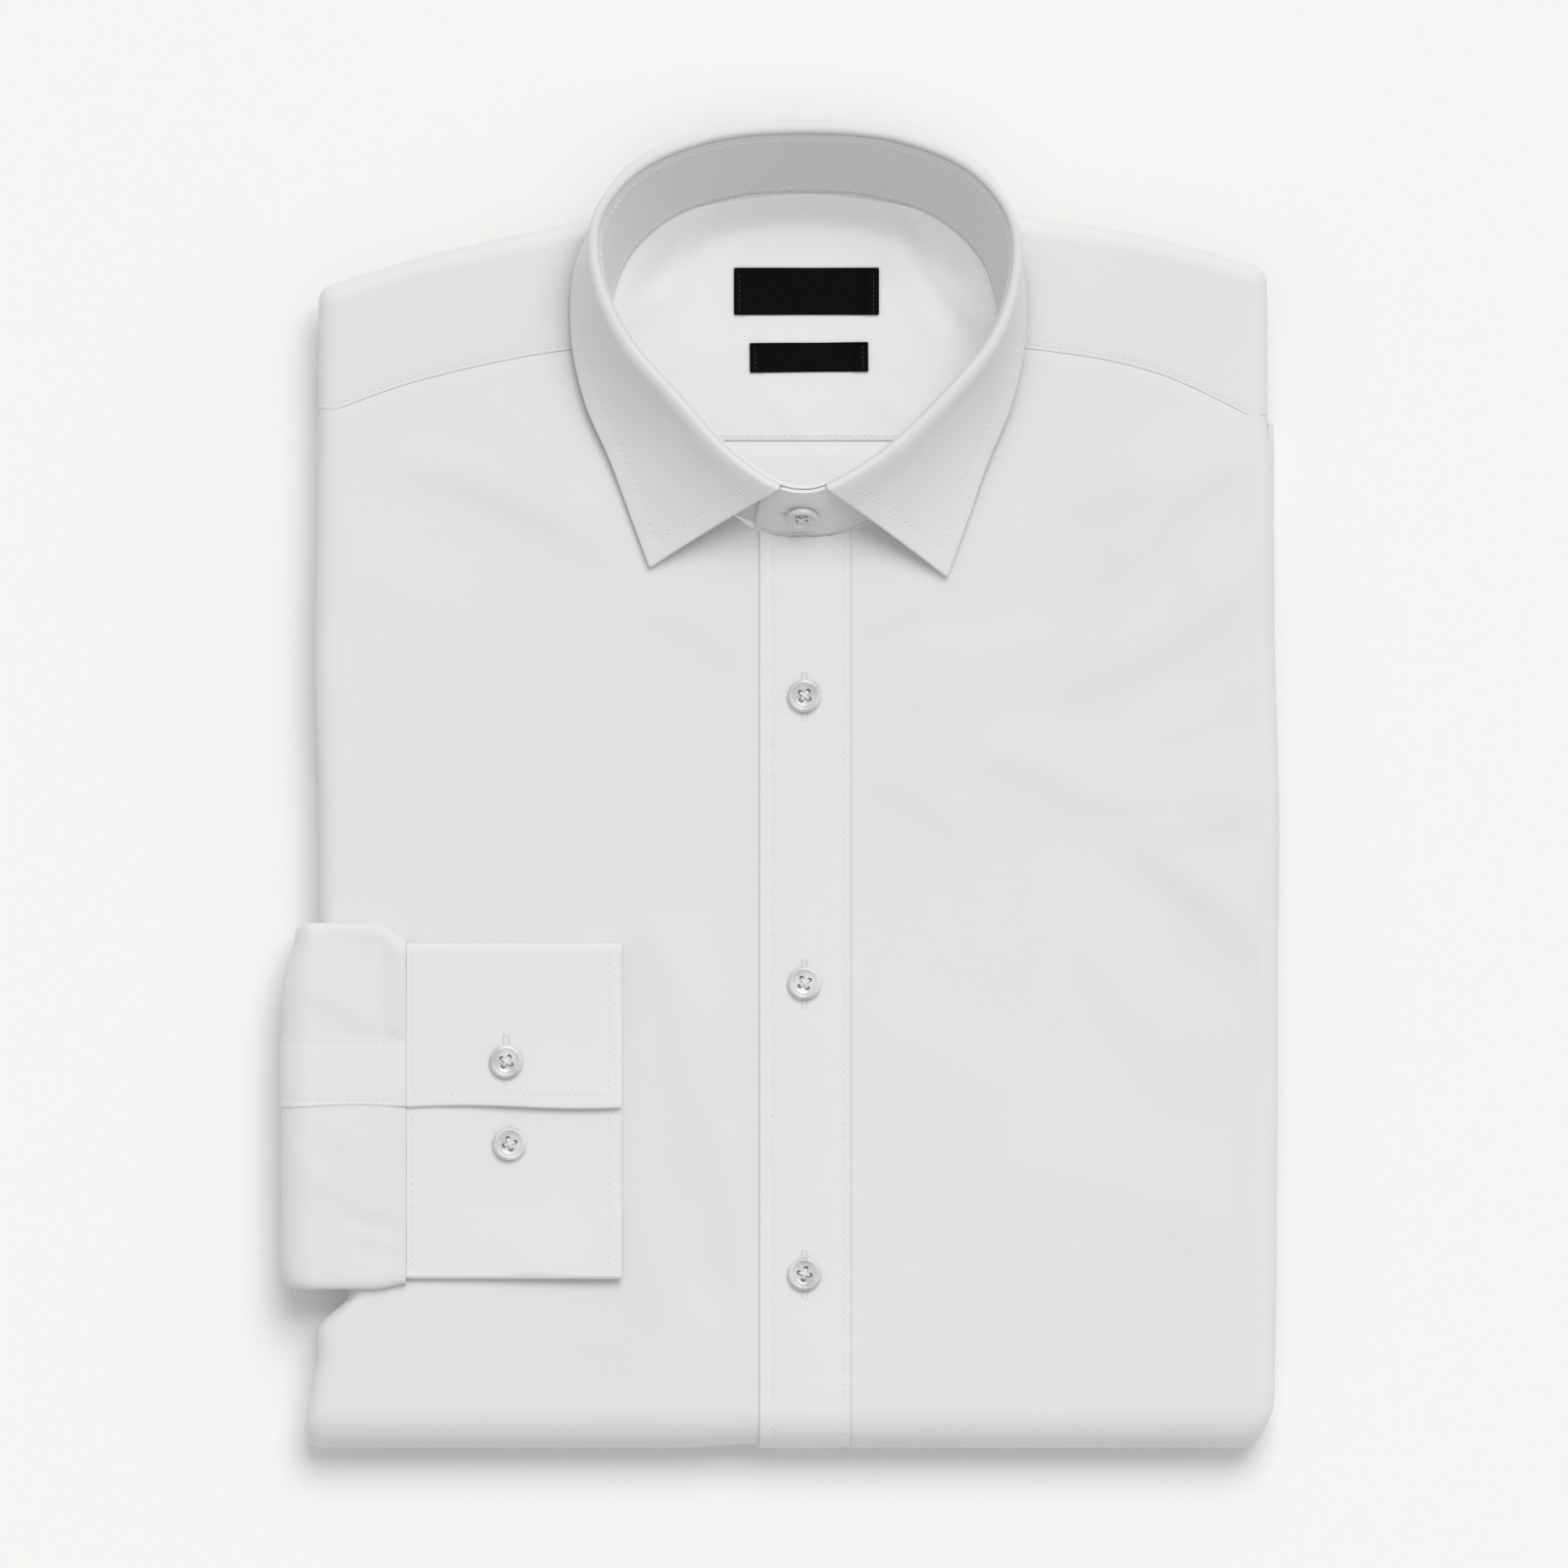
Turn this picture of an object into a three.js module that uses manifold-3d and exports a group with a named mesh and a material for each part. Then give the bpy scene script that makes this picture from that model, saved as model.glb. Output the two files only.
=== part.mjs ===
// A dress shirt, buttoned, its sides turned back, folded in half at the hips and laid on
// the lower half. Millimetres: +X runs to the wearer's left, +Y to the collar, +Z up.
// The cloth of the lower half rests on the plane z = 0.
//
// Each half of the stack is treated as a flat plate with cloth wrapped round it at a
// constant distance, so every layer is a distance from the middle of its half.
import * as THREE from 'three';
import { mergeVertices } from 'three/addons/utils/BufferGeometryUtils.js';
import Module from 'manifold-3d';

const wasm = await Module();
wasm.setup();

const { lerp, degToRad, smoothstep } = THREE.MathUtils;

// ---------------------------------------------------------------- driving sizes

const cloth = 1.2; // wall of a panel with its turnings
const band = 1.4; // wall of the interlined collar
const gap = 0.3; // between sewn pieces, and between a piece and what it lies on
const yokeSeamGap = 0.5; // wider, because that seam is a slanted curve
const half = 6; // from the middle of one folded half to its face
const hip = { y: -198, z: 2 * half }; // axis of the bottom fold
const upperMiddle = 3 * half; // height of the middle of the upper half
const frontTop = 4 * half; // height of the upper face
const buttonLine = 7.3; // x of the centre front
const placketBand = { left: -7, right: 21.9 };
const underLap = { start: -15, sunk: -8.5, end: 18 }; // right front below the placket
const lapDepth = 1.5; // how far the right front dips there
const frontButtons = [28.1, -62.8, -154.8]; // y of each

// ---------------------------------------------------------------- outline tables

// Side folds of the upper half and of the half below it, from the hips to the shoulders.
// The right side is pinched in beneath the sleeve and flares at the bottom fold.
const sideFolds = [
  { y: -210, right: -151.2, left: 152.4, rightBelow: -150.6, leftBelow: 152.0 },
  { y: -198, right: -149.8, left: 155.4, rightBelow: -149.2, leftBelow: 155.0 },
  { y: -182, right: -146.7, left: 155.8, rightBelow: -147.0, leftBelow: 155.2 },
  { y: -171, right: -145.9, left: 156.0, rightBelow: -146.2, leftBelow: 155.2 },
  { y: -161, right: -136.5, left: 156.3, rightBelow: -136.8, leftBelow: 155.2 },
  { y: -150, right: -144.0, left: 156.6, rightBelow: -145.0, leftBelow: 155.3 },
  { y: -95, right: -146.0, left: 157.3, rightBelow: -145.5, leftBelow: 155.5 },
  { y: -20, right: -146.3, left: 157.3, rightBelow: -145.5, leftBelow: 155.5 },
  { y: 50, right: -147.2, left: 156.0, rightBelow: -146.0, leftBelow: 155.5 },
  { y: 100, right: -146.6, left: 155.3, rightBelow: -146.0, leftBelow: 156.0 },
  { y: 122, right: -146.5, left: 153.4, rightBelow: -146.0, leftBelow: 155.8 },
  { y: 165, right: -145.4, left: 153.6, rightBelow: -144.5, leftBelow: 155.2 },
];

// Front seam of the yoke, from the wearer's right to the left. The neck is cut out later.
const yokeSeam = [
  { x: -147, y: 116.5 },
  { x: -114, y: 127.9 },
  { x: -67, y: 137.5 },
  { x: 7, y: 143 },
  { x: 83, y: 137.2 },
  { x: 119, y: 130 },
  { x: 156, y: 112.8 },
];

// Top of the shoulders. It rises behind the neck, where the collar hides it.
const shoulders = [
  { x: -147, y: 156.5 },
  { x: -114, y: 166.9 },
  { x: -62, y: 179 },
  { x: -36, y: 187.5 },
  { x: 7, y: 193.6 },
  { x: 51, y: 187.5 },
  { x: 79, y: 179.6 },
  { x: 115, y: 173.8 },
  { x: 156, y: 162.2 },
];

// Hem of the lower half, which lies underneath: the curved tail of a shirt.
const hem = [
  { x: -147, y: 112 },
  { x: -80, y: 136 },
  { x: 7, y: 142 },
  { x: 90, y: 136 },
  { x: 156, y: 112 },
];

// Soft ridges where the fronts lift off the layers below them.
const ridges = [
  { x: 88, y: 24, toX: 142, toY: 82, width: 24, height: 1.2 },
  { x: 60, y: 9, toX: 142, toY: 2, width: 20, height: 0.9 },
  { x: 104, y: -22, toX: 142, toY: -54, width: 22, height: 1.1 },
  { x: -122, y: 98, toX: -78, toY: 90, width: 20, height: 0.9 },
  { x: -30, y: -92, toX: -22, toY: -158, width: 18, height: 0.9 },
];

// Layers that show at the edges of the hidden stack: how far each level stays inside the
// outline at the side folds and at the shoulders.
const edgeLayers = [
  { z: 1.5, side: 6.2, top: 16 },
  { z: 3.2, side: 2.9, top: 12 },
  { z: 5.4, side: 1.8, top: 12.5 },
  { z: 6.2, side: 1.8, top: 18 },
  { z: 7.2, side: 2.2, top: 9 },
  { z: 9.4, side: 5.2, top: 8 },
  { z: 10.2, side: 8.2, top: 13 },
  { z: 11.2, side: 4.2, top: 10 },
  { z: 12.8, side: 4.6, top: 6 },
  { z: 13.8, side: 8.4, top: 9 },
  { z: 14.6, side: 4.6, top: 4.8 },
  { z: 16.4, side: 2.4, top: 2.4 },
  { z: 18.6, side: 2.1, top: 2.1 },
  { z: 21.0, side: 3.5, top: 3.5 },
  { z: 22.5, side: 6.4, top: 6.4 },
];

// The collar, from the centre front to the centre back, as distances from the button line:
// the top of its fold, its neck seam and the outer edge of the leaf. The left side of the
// fold stands out a little further, by ease.
const collar = [
  { foldX: 0, foldY: 91.6, foldZ: 49.5, ease: 0, seamX: 0, seamY: 79.8, seamZ: 23.4 },
  { foldX: 8, foldY: 93, foldZ: 50, ease: -1, seamX: 10, seamY: 80.6, seamZ: 23.4,
    edgeX: 47.5, edgeY: 66.2, edgeZ: 26.4 },
  { foldX: 24.6, foldY: 104.2, foldZ: 51.2, ease: 1, seamX: 28, seamY: 88, seamZ: 23.4,
    edgeX: 53.8, edgeY: 84, edgeZ: 26.8 },
  { foldX: 39, foldY: 120, foldZ: 52.6, ease: 3.5, seamX: 46, seamY: 101.5, seamZ: 23.3,
    edgeX: 60, edgeY: 101.5, edgeZ: 27.4 },
  { foldX: 57.6, foldY: 142, foldZ: 54.4, ease: 3, seamX: 59.5, seamY: 121, seamZ: 23.2,
    edgeX: 68, edgeY: 121, edgeZ: 28.6 },
  { foldX: 66, foldY: 163, foldZ: 56, ease: 1, seamX: 62.5, seamY: 143, seamZ: 23.1,
    edgeX: 72.3, edgeY: 144, edgeZ: 28.6 },
  { foldX: 65.4, foldY: 179.5, foldZ: 57, ease: 0, seamX: 57, seamY: 165, seamZ: 23,
    edgeX: 69.8, edgeY: 167, edgeZ: 27.6 },
  { foldX: 53.5, foldY: 194.3, foldZ: 57.6, ease: 0, seamX: 42.5, seamY: 179.5, seamZ: 22.9,
    edgeX: 54, edgeY: 191, edgeZ: 23.5 },
  { foldX: 30, foldY: 204.4, foldZ: 58, ease: 0, seamX: 22, seamY: 186.3, seamZ: 22.8,
    edgeX: 31, edgeY: 204.2, edgeZ: 20 },
  { foldX: 0, foldY: 207.2, foldZ: 58, ease: 0, seamX: 0, seamY: 188, seamZ: 22.8,
    edgeX: 0, edgeY: 207.8, edgeZ: 18.5 },
];
const leafLine = 5.3; // x of the middle of the leaf, which sits a little to the right
const leafTwist = 0.033; // its points are turned about that middle by this slope
const standLap = { turns: 1.36, apart: 1.2 }; // lapped ends, in rows past the centre front

// ---------------------------------------------------------------- helpers

// Smooth line through a table: column `to` at a value of column `from`, which rises.
function follow(table, from, to, value) {
  const last = table.length - 1;
  const held = THREE.MathUtils.clamp(value, table[0][from], table[last][from]);
  const next = Math.max(1, table.findIndex((row) => row[from] >= held));
  const slope = (k) => {
    const before = table[Math.max(k - 1, 0)];
    const after = table[Math.min(k + 1, last)];
    return (after[to] - before[to]) / (after[from] - before[from]);
  };
  const a = table[next - 1];
  const b = table[next];
  const span = b[from] - a[from];
  const t = (held - a[from]) / span;
  const ease = t * t * (3 - 2 * t);
  const lift = t * (1 - t) * (1 - t) * slope(next - 1) - t * t * (1 - t) * slope(next);
  return lerp(a[to], b[to], ease) + span * lift;
}

// Moves every vertex of a plain gridded solid to where place(u, v, w) says, and makes it
// one closed body with its faces outwards. u, v and w run from 0 to 1.
function shaped(geometry, share, place) {
  const position = geometry.attributes.position;
  for (let i = 0; i < position.count; i += 1) {
    const moved = place(...share(geometry, i));
    position.setXYZ(i, moved.x, moved.y, moved.z);
  }
  return closed(geometry);
}

const boxShare = (geometry, i) => {
  const position = geometry.attributes.position;
  return [position.getX(i) + 0.5, position.getY(i) + 0.5, position.getZ(i) + 0.5];
};

const uvShare = (geometry, i) => [geometry.attributes.uv.getX(i), geometry.attributes.uv.getY(i)];

// A sheet with a wall: `across` by `along` faces, inner face at w = 0 and outer at w = 1.
const sheet = (across, along, place) =>
  shaped(new THREE.BoxGeometry(1, 1, 1, across, along, 1), boxShare, place);

function closed(geometry) {
  geometry.deleteAttribute('normal');
  geometry.deleteAttribute('uv');
  const merged = mergeVertices(geometry, 1e-4);
  const corner = (k) => new THREE.Vector3().fromBufferAttribute(merged.attributes.position, k);
  const index = merged.index.array;
  let volume = 0;
  for (let i = 0; i < index.length; i += 3) {
    volume += corner(index[i]).dot(corner(index[i + 1]).cross(corner(index[i + 2])));
  }
  if (volume < 0) {
    merged.setIndex(Array.from(index).reverse());
  }
  return merged;
}

function manifoldOf(geometry) {
  return new wasm.Manifold(new wasm.Mesh({
    numProp: 3,
    vertProperties: Float32Array.from(geometry.attributes.position.array),
    triVerts: Uint32Array.from(geometry.index.array),
  }));
}

function cut(geometry, ...tools) {
  let solid = manifoldOf(geometry);
  tools.forEach((tool) => {
    solid = solid.subtract(manifoldOf(tool));
  });
  const mesh = solid.getMesh();
  const result = new THREE.BufferGeometry();
  result.setAttribute('position', new THREE.BufferAttribute(mesh.vertProperties, 3));
  result.setIndex(Array.from(mesh.triVerts));
  return result;
}

function block(low, high) {
  const size = new THREE.Vector3(...high).sub(new THREE.Vector3(...low));
  const geometry = new THREE.BoxGeometry(size.x, size.y, size.z);
  geometry.translate(low[0] + size.x / 2, low[1] + size.y / 2, low[2] + size.z / 2);
  return closed(geometry);
}

const shirt = new THREE.Group();

function add(name, geometry, finish) {
  geometry.computeVertexNormals();
  const mesh = new THREE.Mesh(geometry, new THREE.MeshStandardMaterial(finish));
  mesh.name = name;
  shirt.add(mesh);
  return mesh;
}

const poplin = { color: 0xe4e4e4, roughness: 0.85, metalness: 0 };
const facedPoplin = { color: 0xe9e9e9, roughness: 0.85, metalness: 0 };
const hiddenPoplin = { color: 0xdcdcdc, roughness: 0.9, metalness: 0 };
const shell = { color: 0xf2f1ee, roughness: 0.25, metalness: 0 };
const satin = { color: 0x0b0b0c, roughness: 0.6, metalness: 0 };

// ---------------------------------------------------------------- the folded stack

// Where a distance `run` down the upper half, round the bottom fold and back along the
// lower half lies, `out` from the middle of the half. The run starts at y = 0.
function onStack(x, run, out) {
  const turned = THREE.MathUtils.clamp((run + hip.y) / half, 0, Math.PI);
  const below = Math.max(run + hip.y - Math.PI * half, 0);
  const reach = half + out;
  const y = Math.max(-run, hip.y) - Math.sin(turned) * reach + below;
  return new THREE.Vector3(x, y, hip.z + Math.cos(turned) * reach);
}

function sideFold(side, run) {
  const turned = THREE.MathUtils.clamp((run + hip.y) / half, 0, Math.PI);
  const below = Math.max(run + hip.y - Math.PI * half, 0);
  const y = Math.max(-run, hip.y) - Math.sin(turned) * 2 * half + below;
  const upper = follow(sideFolds, 'y', side, y);
  const lower = follow(sideFolds, 'y', `${side}Below`, y);
  return lerp(upper, lower, turned / Math.PI);
}

// The side folds at the yoke seam, where the yoke and the fronts have to agree.
const seamEdge = (side) => {
  const nearSide = side === 'left' ? buttonLine + 140 : buttonLine - 140;
  return sideFold(side, -follow(yokeSeam, 'x', 'y', nearSide));
};

function ridgeHeight(x, y) {
  const heights = ridges.map((ridge) => {
    const start = new THREE.Vector3(ridge.x, ridge.y, 0);
    const line = new THREE.Line3(start, new THREE.Vector3(ridge.toX, ridge.toY, 0));
    const spot = new THREE.Vector3(x, y, 0);
    const away = line.closestPointToPoint(spot, true, new THREE.Vector3()).distanceTo(spot);
    const share = Math.max(0, 1 - (away / ridge.width) ** 2);
    return ridge.height * share * share;
  });
  return Math.max(...heights);
}

// Rows of a front, after the one at the yoke seam: places down the upper half, turns of the
// bottom fold, places along the lower half, and last the hem.
const upperRows = [
  100, 82, 64, 46, 28, 10, -8, -26, -44, -62, -80, -98, -116, -134, -150, -161, -171, -184, hip.y,
];
const foldTurns = [22.5, 45, 67.5, 90, 112.5, 135, 157.5, 180];
const lowerRows = [-184, -171, -161, -150, -120, -50, 30];
const rowCount = upperRows.length + foldTurns.length + lowerRows.length + 1;

function runOfRow(row, x) {
  if (row === 0) {
    return yokeSeamGap / 2 - follow(yokeSeam, 'x', 'y', x);
  }
  if (row <= upperRows.length) {
    return -upperRows[row - 1];
  }
  const turn = row - upperRows.length;
  if (turn <= foldTurns.length) {
    return -hip.y + degToRad(foldTurns[turn - 1]) * half;
  }
  const lower = turn - foldTurns.length - 1;
  const y = lower < lowerRows.length ? lowerRows[lower] : follow(hem, 'x', 'y', x);
  return -hip.y + Math.PI * half + y - hip.y;
}

// Columns of a panel: turns of its side fold first, then places across its face.
const sideTurns = [125, 95, 65, 32];

function frontPoint(side, column, row, depth, faceX, sunk) {
  const sign = side === 'left' ? 1 : -1;
  const radius = half - depth;
  const edge = row === 0 ? seamEdge(side) : sideFold(side, runOfRow(row, sign * 140 + buttonLine));
  const plate = edge - sign * half;
  if (column < sideTurns.length) {
    const turn = degToRad(sideTurns[column]);
    const run = runOfRow(row, plate);
    return onStack(plate + sign * Math.sin(turn) * radius, run, Math.cos(turn) * radius);
  }
  const x = faceX(column - sideTurns.length, plate);
  const run = runOfRow(row, x);
  const lifted = row <= upperRows.length ? ridgeHeight(x, -run) : 0;
  return onStack(x, run, radius + lifted - sunk(x));
}

const noSink = () => 0;
const lapSink = (x) => lapDepth * smoothstep(x, underLap.start, underLap.sunk);

// The right front runs on under the placket, where it is pressed down.
const rightShares = [0, 0.14, 0.28, 0.42, 0.56, 0.7, 0.85, 1];
const rightLap = [-12, underLap.sunk, 5, underLap.end];
const rightColumns = sideTurns.length + rightShares.length + rightLap.length - 1;
const rightFace = (k, plate) => (k < rightShares.length
  ? lerp(plate, underLap.start, rightShares[k])
  : rightLap[k - rightShares.length]);
const rightFront = sheet(rightColumns, rowCount, (u, v, w) => frontPoint(
  'right',
  Math.round(u * rightColumns),
  Math.round(v * rowCount),
  cloth * (1 - w),
  rightFace,
  lapSink,
));

// The left front meets the placket at its outer stitched side.
const leftShares = [0, 0.13, 0.26, 0.39, 0.52, 0.65, 0.78, 0.9, 1];
const leftColumns = sideTurns.length + leftShares.length - 1;
const leftFace = (k, plate) => lerp(plate, placketBand.right + gap, leftShares[k]);
const leftFront = sheet(leftColumns, rowCount, (u, v, w) => frontPoint(
  'left',
  Math.round(u * leftColumns),
  Math.round(v * rowCount),
  cloth * (1 - w),
  leftFace,
  noSink,
));

const placketPlaces = [placketBand.left, 0, buttonLine, 15, placketBand.right];
const placket = sheet(placketPlaces.length - 1, rowCount, (u, v, w) => {
  const x = placketPlaces[Math.round(u * (placketPlaces.length - 1))];
  const run = runOfRow(Math.round(v * rowCount), x);
  return onStack(x, run, half - cloth * (1 - w));
});

// The yoke turns over the shoulders, and over the side folds at its ends.
const yokePlaces = [0, 0.07, 0.14, 0.21, 0.27, 0.33, 0.39, 0.45, 0.51, 0.57, 0.63, 0.69, 0.75, 0.81,
  0.88, 0.94, 1];
const yokeRows = [0, 0.35, 0.7, 1];
const shoulderTurns = [30, 60, 90, 120];
const yokeColumns = 2 * sideTurns.length + yokePlaces.length - 1;
const yokeLines = yokeRows.length + shoulderTurns.length - 1;

function yokePoint(column, line, depth) {
  const turns = sideTurns.length;
  const share = THREE.MathUtils.clamp(column - turns, 0, yokePlaces.length - 1);
  const fromEnd = Math.max(turns - column, column - turns - yokePlaces.length + 1, 0);
  const sideways = fromEnd > 0 ? degToRad(sideTurns[turns - fromEnd]) : 0;
  const sign = column < turns ? -1 : 1;
  const over = line >= yokeRows.length ? degToRad(shoulderTurns[line - yokeRows.length]) : 0;
  const x = lerp(seamEdge('right') + half, seamEdge('left') - half, yokePlaces[share]);
  const seam = follow(yokeSeam, 'x', 'y', x) + yokeSeamGap / 2;
  const top = follow(shoulders, 'x', 'y', x) - half;
  const y = lerp(seam, top, yokeRows[Math.min(line, yokeRows.length - 1)]);
  const away = new THREE.Vector3(
    sign * Math.sin(sideways), Math.sin(over), Math.cos(sideways) + Math.cos(over) - 1,
  );
  return new THREE.Vector3(x, y, upperMiddle).addScaledVector(away.normalize(), half - depth);
}

const yoke = sheet(yokeColumns, yokeLines, (u, v, w) => yokePoint(
  Math.round(u * yokeColumns), Math.round(v * yokeLines), cloth * (1 - w),
));

// ---------------------------------------------------------------- collar ring

// One line of the collar right round the neck, in rows: 0 is the centre front, then the
// wearer's right side, the back, the left side and round to the front again.
const rowsRound = 2 * (collar.length - 1);

function ring(place) {
  const rightSide = collar.map((row) => place(row, -1));
  const leftSide = collar.slice(1, -1).reverse().map((row) => place(row, 1));
  return new THREE.CatmullRomCurve3([...rightSide, ...leftSide], true, 'centripetal');
}

const foldRing = ring((row, side) => new THREE.Vector3(
  buttonLine + side * (row.foldX + (side > 0 ? row.ease : 0)), row.foldY, row.foldZ,
));
const seamRing = ring((row, side) => new THREE.Vector3(
  buttonLine + side * row.seamX, row.seamY, row.seamZ,
));
const around = (curve, row) => curve.getPoint((row / rowsRound + 1) % 1);

// Level direction away from the neck at a row of a ring.
function outward(curve, row) {
  const ahead = around(curve, row + 0.02).sub(around(curve, row - 0.02));
  return new THREE.Vector3(-ahead.y, ahead.x, 0).normalize();
}

// Offsets a surface point along the surface's own normal.
function raised(surface, u, v, height) {
  const step = 0.002;
  const alongU = surface(u + step, v).sub(surface(u - step, v));
  const alongV = surface(u, v + step).sub(surface(u, v - step));
  return surface(u, v).addScaledVector(alongU.cross(alongV).normalize(), height);
}

// The stand leans with the ring. Its right end tucks inside and its left end laps over.
const standStart = -standLap.turns;
const standEnd = rowsRound + standLap.turns;
const standTopInset = 1.9;
const standDrop = 3.7;

function standSurface(u, v) {
  const row = lerp(standStart, standEnd, u);
  const lapIn = 1 - smoothstep(row, standLap.turns, standLap.turns + 1.6);
  const lapOut = smoothstep(row, standEnd - 2 * standLap.turns - 1.6, standEnd - 2 * standLap.turns);
  const fold = around(foldRing, row);
  const seam = around(seamRing, row);
  const away = outward(seamRing, row);
  const top = fold.addScaledVector(outward(foldRing, row), -standTopInset);
  top.z -= standDrop;
  return seam.lerp(top, v).addScaledVector(away, (lapOut - lapIn) * standLap.apart);
}

const standShares = [0, 0.33, 0.67, 1];
const standColumns = 46;
const roundedEnd = (u) => {
  const rows = (1 - u) * (standEnd - standStart);
  const corner = 0.55;
  return rows < corner ? 1 - 0.3 * (1 - Math.sqrt(1 - (1 - rows / corner) ** 2)) : 1;
};
const stand = sheet(standColumns, standShares.length - 1, (u, v, w) => {
  const rise = standShares[Math.round(v * (standShares.length - 1))] * roundedEnd(u);
  return raised(standSurface, u, rise, band * (w - 0.5));
});

// The leaf rolls over the top of the stand and falls to its edge, a little bowed.
const leafRows = { first: 1, last: rowsRound - 1 };
const edgeOf = (row, side) => {
  const x = leafLine + side * row.edgeX;
  const front = smoothstep(-row.edgeY, -130, -60);
  return new THREE.Vector3(x, row.edgeY - leafTwist * (x - leafLine) * front, row.edgeZ);
};
const edgeLine = new THREE.CatmullRomCurve3([
  ...collar.slice(1).map((row) => edgeOf(row, -1)),
  ...collar.slice(1, -1).reverse().map((row) => edgeOf(row, 1)),
], false, 'centripetal');

function leafSection(u) {
  const row = lerp(leafRows.first, leafRows.last, u);
  const fold = around(foldRing, row);
  const edge = edgeLine.getPoint(THREE.MathUtils.clamp(u, 0, 1));
  const away = outward(foldRing, row);
  const falls = new THREE.Vector3(edge.x - fold.x, edge.y - fold.y, 0);
  falls.addScaledVector(away, 8).normalize();
  const at = (level, drop) => {
    const place = fold.clone().addScaledVector(falls, level);
    place.z -= drop;
    return place;
  };
  const shoulder = at(2.3, 1.3);
  const fall = edge.clone().sub(shoulder);
  const side = new THREE.Vector3().crossVectors(fall, falls).normalize();
  const bow = new THREE.Vector3().crossVectors(side, fall).normalize();
  const front = smoothstep(-edge.y, -190, -120);
  const between = (share) => shoulder.clone().addScaledVector(fall, share)
    .addScaledVector(bow, -(0.4 + 2.4 * front) * 4 * share * (1 - share));
  return [at(-2, 2.6), at(-1.4, 0.7), at(0, 0), shoulder,
    between(0.2), between(0.4), between(0.6), between(0.8), edge];
}

function leafSurface(u, v) {
  const points = leafSection(u);
  return new THREE.CatmullRomCurve3(points, false, 'centripetal').getPoint(v);
}

const leafColumns = 44;
const leafLines = 8;
const leaf = sheet(leafColumns, leafLines, (u, v, w) => {
  const inner = Math.min(Math.max(u, 0.003), 0.997);
  const edge = Math.min(Math.max(v, 0.003), 0.997);
  return raised(leafSurface, inner, edge, -band * (1 - w));
});

// ---------------------------------------------------------------- neck opening

// The neck is cut along the foot of the stand, a little wider where its ends lap.
function neckLine(grow) {
  const points = [];
  const steps = 60;
  for (let k = 0; k < steps; k += 1) {
    const row = (k / steps) * rowsRound;
    const fromFront = Math.min(row, rowsRound - row);
    const lapped = 1 - smoothstep(fromFront, standLap.turns, standLap.turns + 1.6);
    const away = outward(seamRing, row);
    points.push(around(seamRing, row).addScaledVector(away, grow + lapped * standLap.apart));
  }
  return points;
}

const neckCut = band / 2 + 3 * gap;
const recessFloor = 14.5;

function neckPrism(from, to) {
  const outline = new THREE.Shape(neckLine(neckCut).map((point) => new THREE.Vector2(point.x, point.y)));
  const geometry = new THREE.ExtrudeGeometry(outline, { depth: to - from, bevelEnabled: false });
  geometry.translate(0, 0, from);
  return closed(geometry);
}

// Inner yoke and back: one dished sheet in the opening, parted at the inner yoke seam.
const innerSeamY = 108.7;
const dish = { floor: recessFloor + gap, rise: 5.2, from: 0.72 };
const dishRings = [0, 0.4, dish.from, 0.86, 1];
const dishSpokes = 48;
const dishProfile = [
  ...dishRings.map((radius) => new THREE.Vector2(radius, 0)),
  ...dishRings.slice().reverse().map((radius) => new THREE.Vector2(radius, 1)),
];
const dishOutline = neckLine(neckCut - gap);
const dishCentre = new THREE.Vector3(buttonLine, 138, 0);
const dished = shaped(
  new THREE.LatheGeometry(dishProfile, dishSpokes),
  (geometry, i) => {
    const position = geometry.attributes.position;
    const radius = Math.hypot(position.getX(i), position.getZ(i));
    const turn = Math.atan2(position.getX(i), position.getZ(i)) / (2 * Math.PI);
    return [radius, (turn + 1) % 1, position.getY(i)];
  },
  (radius, turn, upper) => {
    const place = (turn * dishOutline.length) % dishOutline.length;
    const from = dishOutline[Math.floor(place)];
    const to = dishOutline[(Math.floor(place) + 1) % dishOutline.length];
    const rim = from.clone().lerp(to, place - Math.floor(place));
    const spot = dishCentre.clone().lerp(rim, radius);
    const back = smoothstep(rim.y, 105, 150);
    spot.z = dish.floor + dish.rise * back * smoothstep(radius, dish.from, 1) + cloth * upper;
    return spot;
  },
);
const outside = 400;
const innerYoke = cut(dished, block([-outside, -outside, 0], [outside, innerSeamY + gap / 2, 60]));
const backPanel = cut(dished, block([-outside, innerSeamY - gap / 2, 0], [outside, outside, 60]));

add('right_front', cut(rightFront, neckPrism(recessFloor, 40)), poplin);
add('left_front', cut(leftFront, neckPrism(recessFloor, 40)), poplin);
add('placket', cut(placket, neckPrism(recessFloor, 40)), facedPoplin);
add('yoke', cut(yoke, neckPrism(recessFloor, 40)), poplin);
add('inner_yoke', innerYoke, poplin);
add('back_panel', backPanel, poplin);
add('collar_stand', stand, facedPoplin);
add('collar_leaf', leaf, facedPoplin);

// ---------------------------------------------------------------- hidden layers

// All that is folded out of sight, as one rounded solid whose edges show its layers.
const stackRows = [-198, -184, -171, -161, -150, -120, -80, -50, -10, 30, 64, 98, 118, 140];
const stackColumns = 11;
const coreFold = 2 * half - cloth - gap - 0.5;

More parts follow.
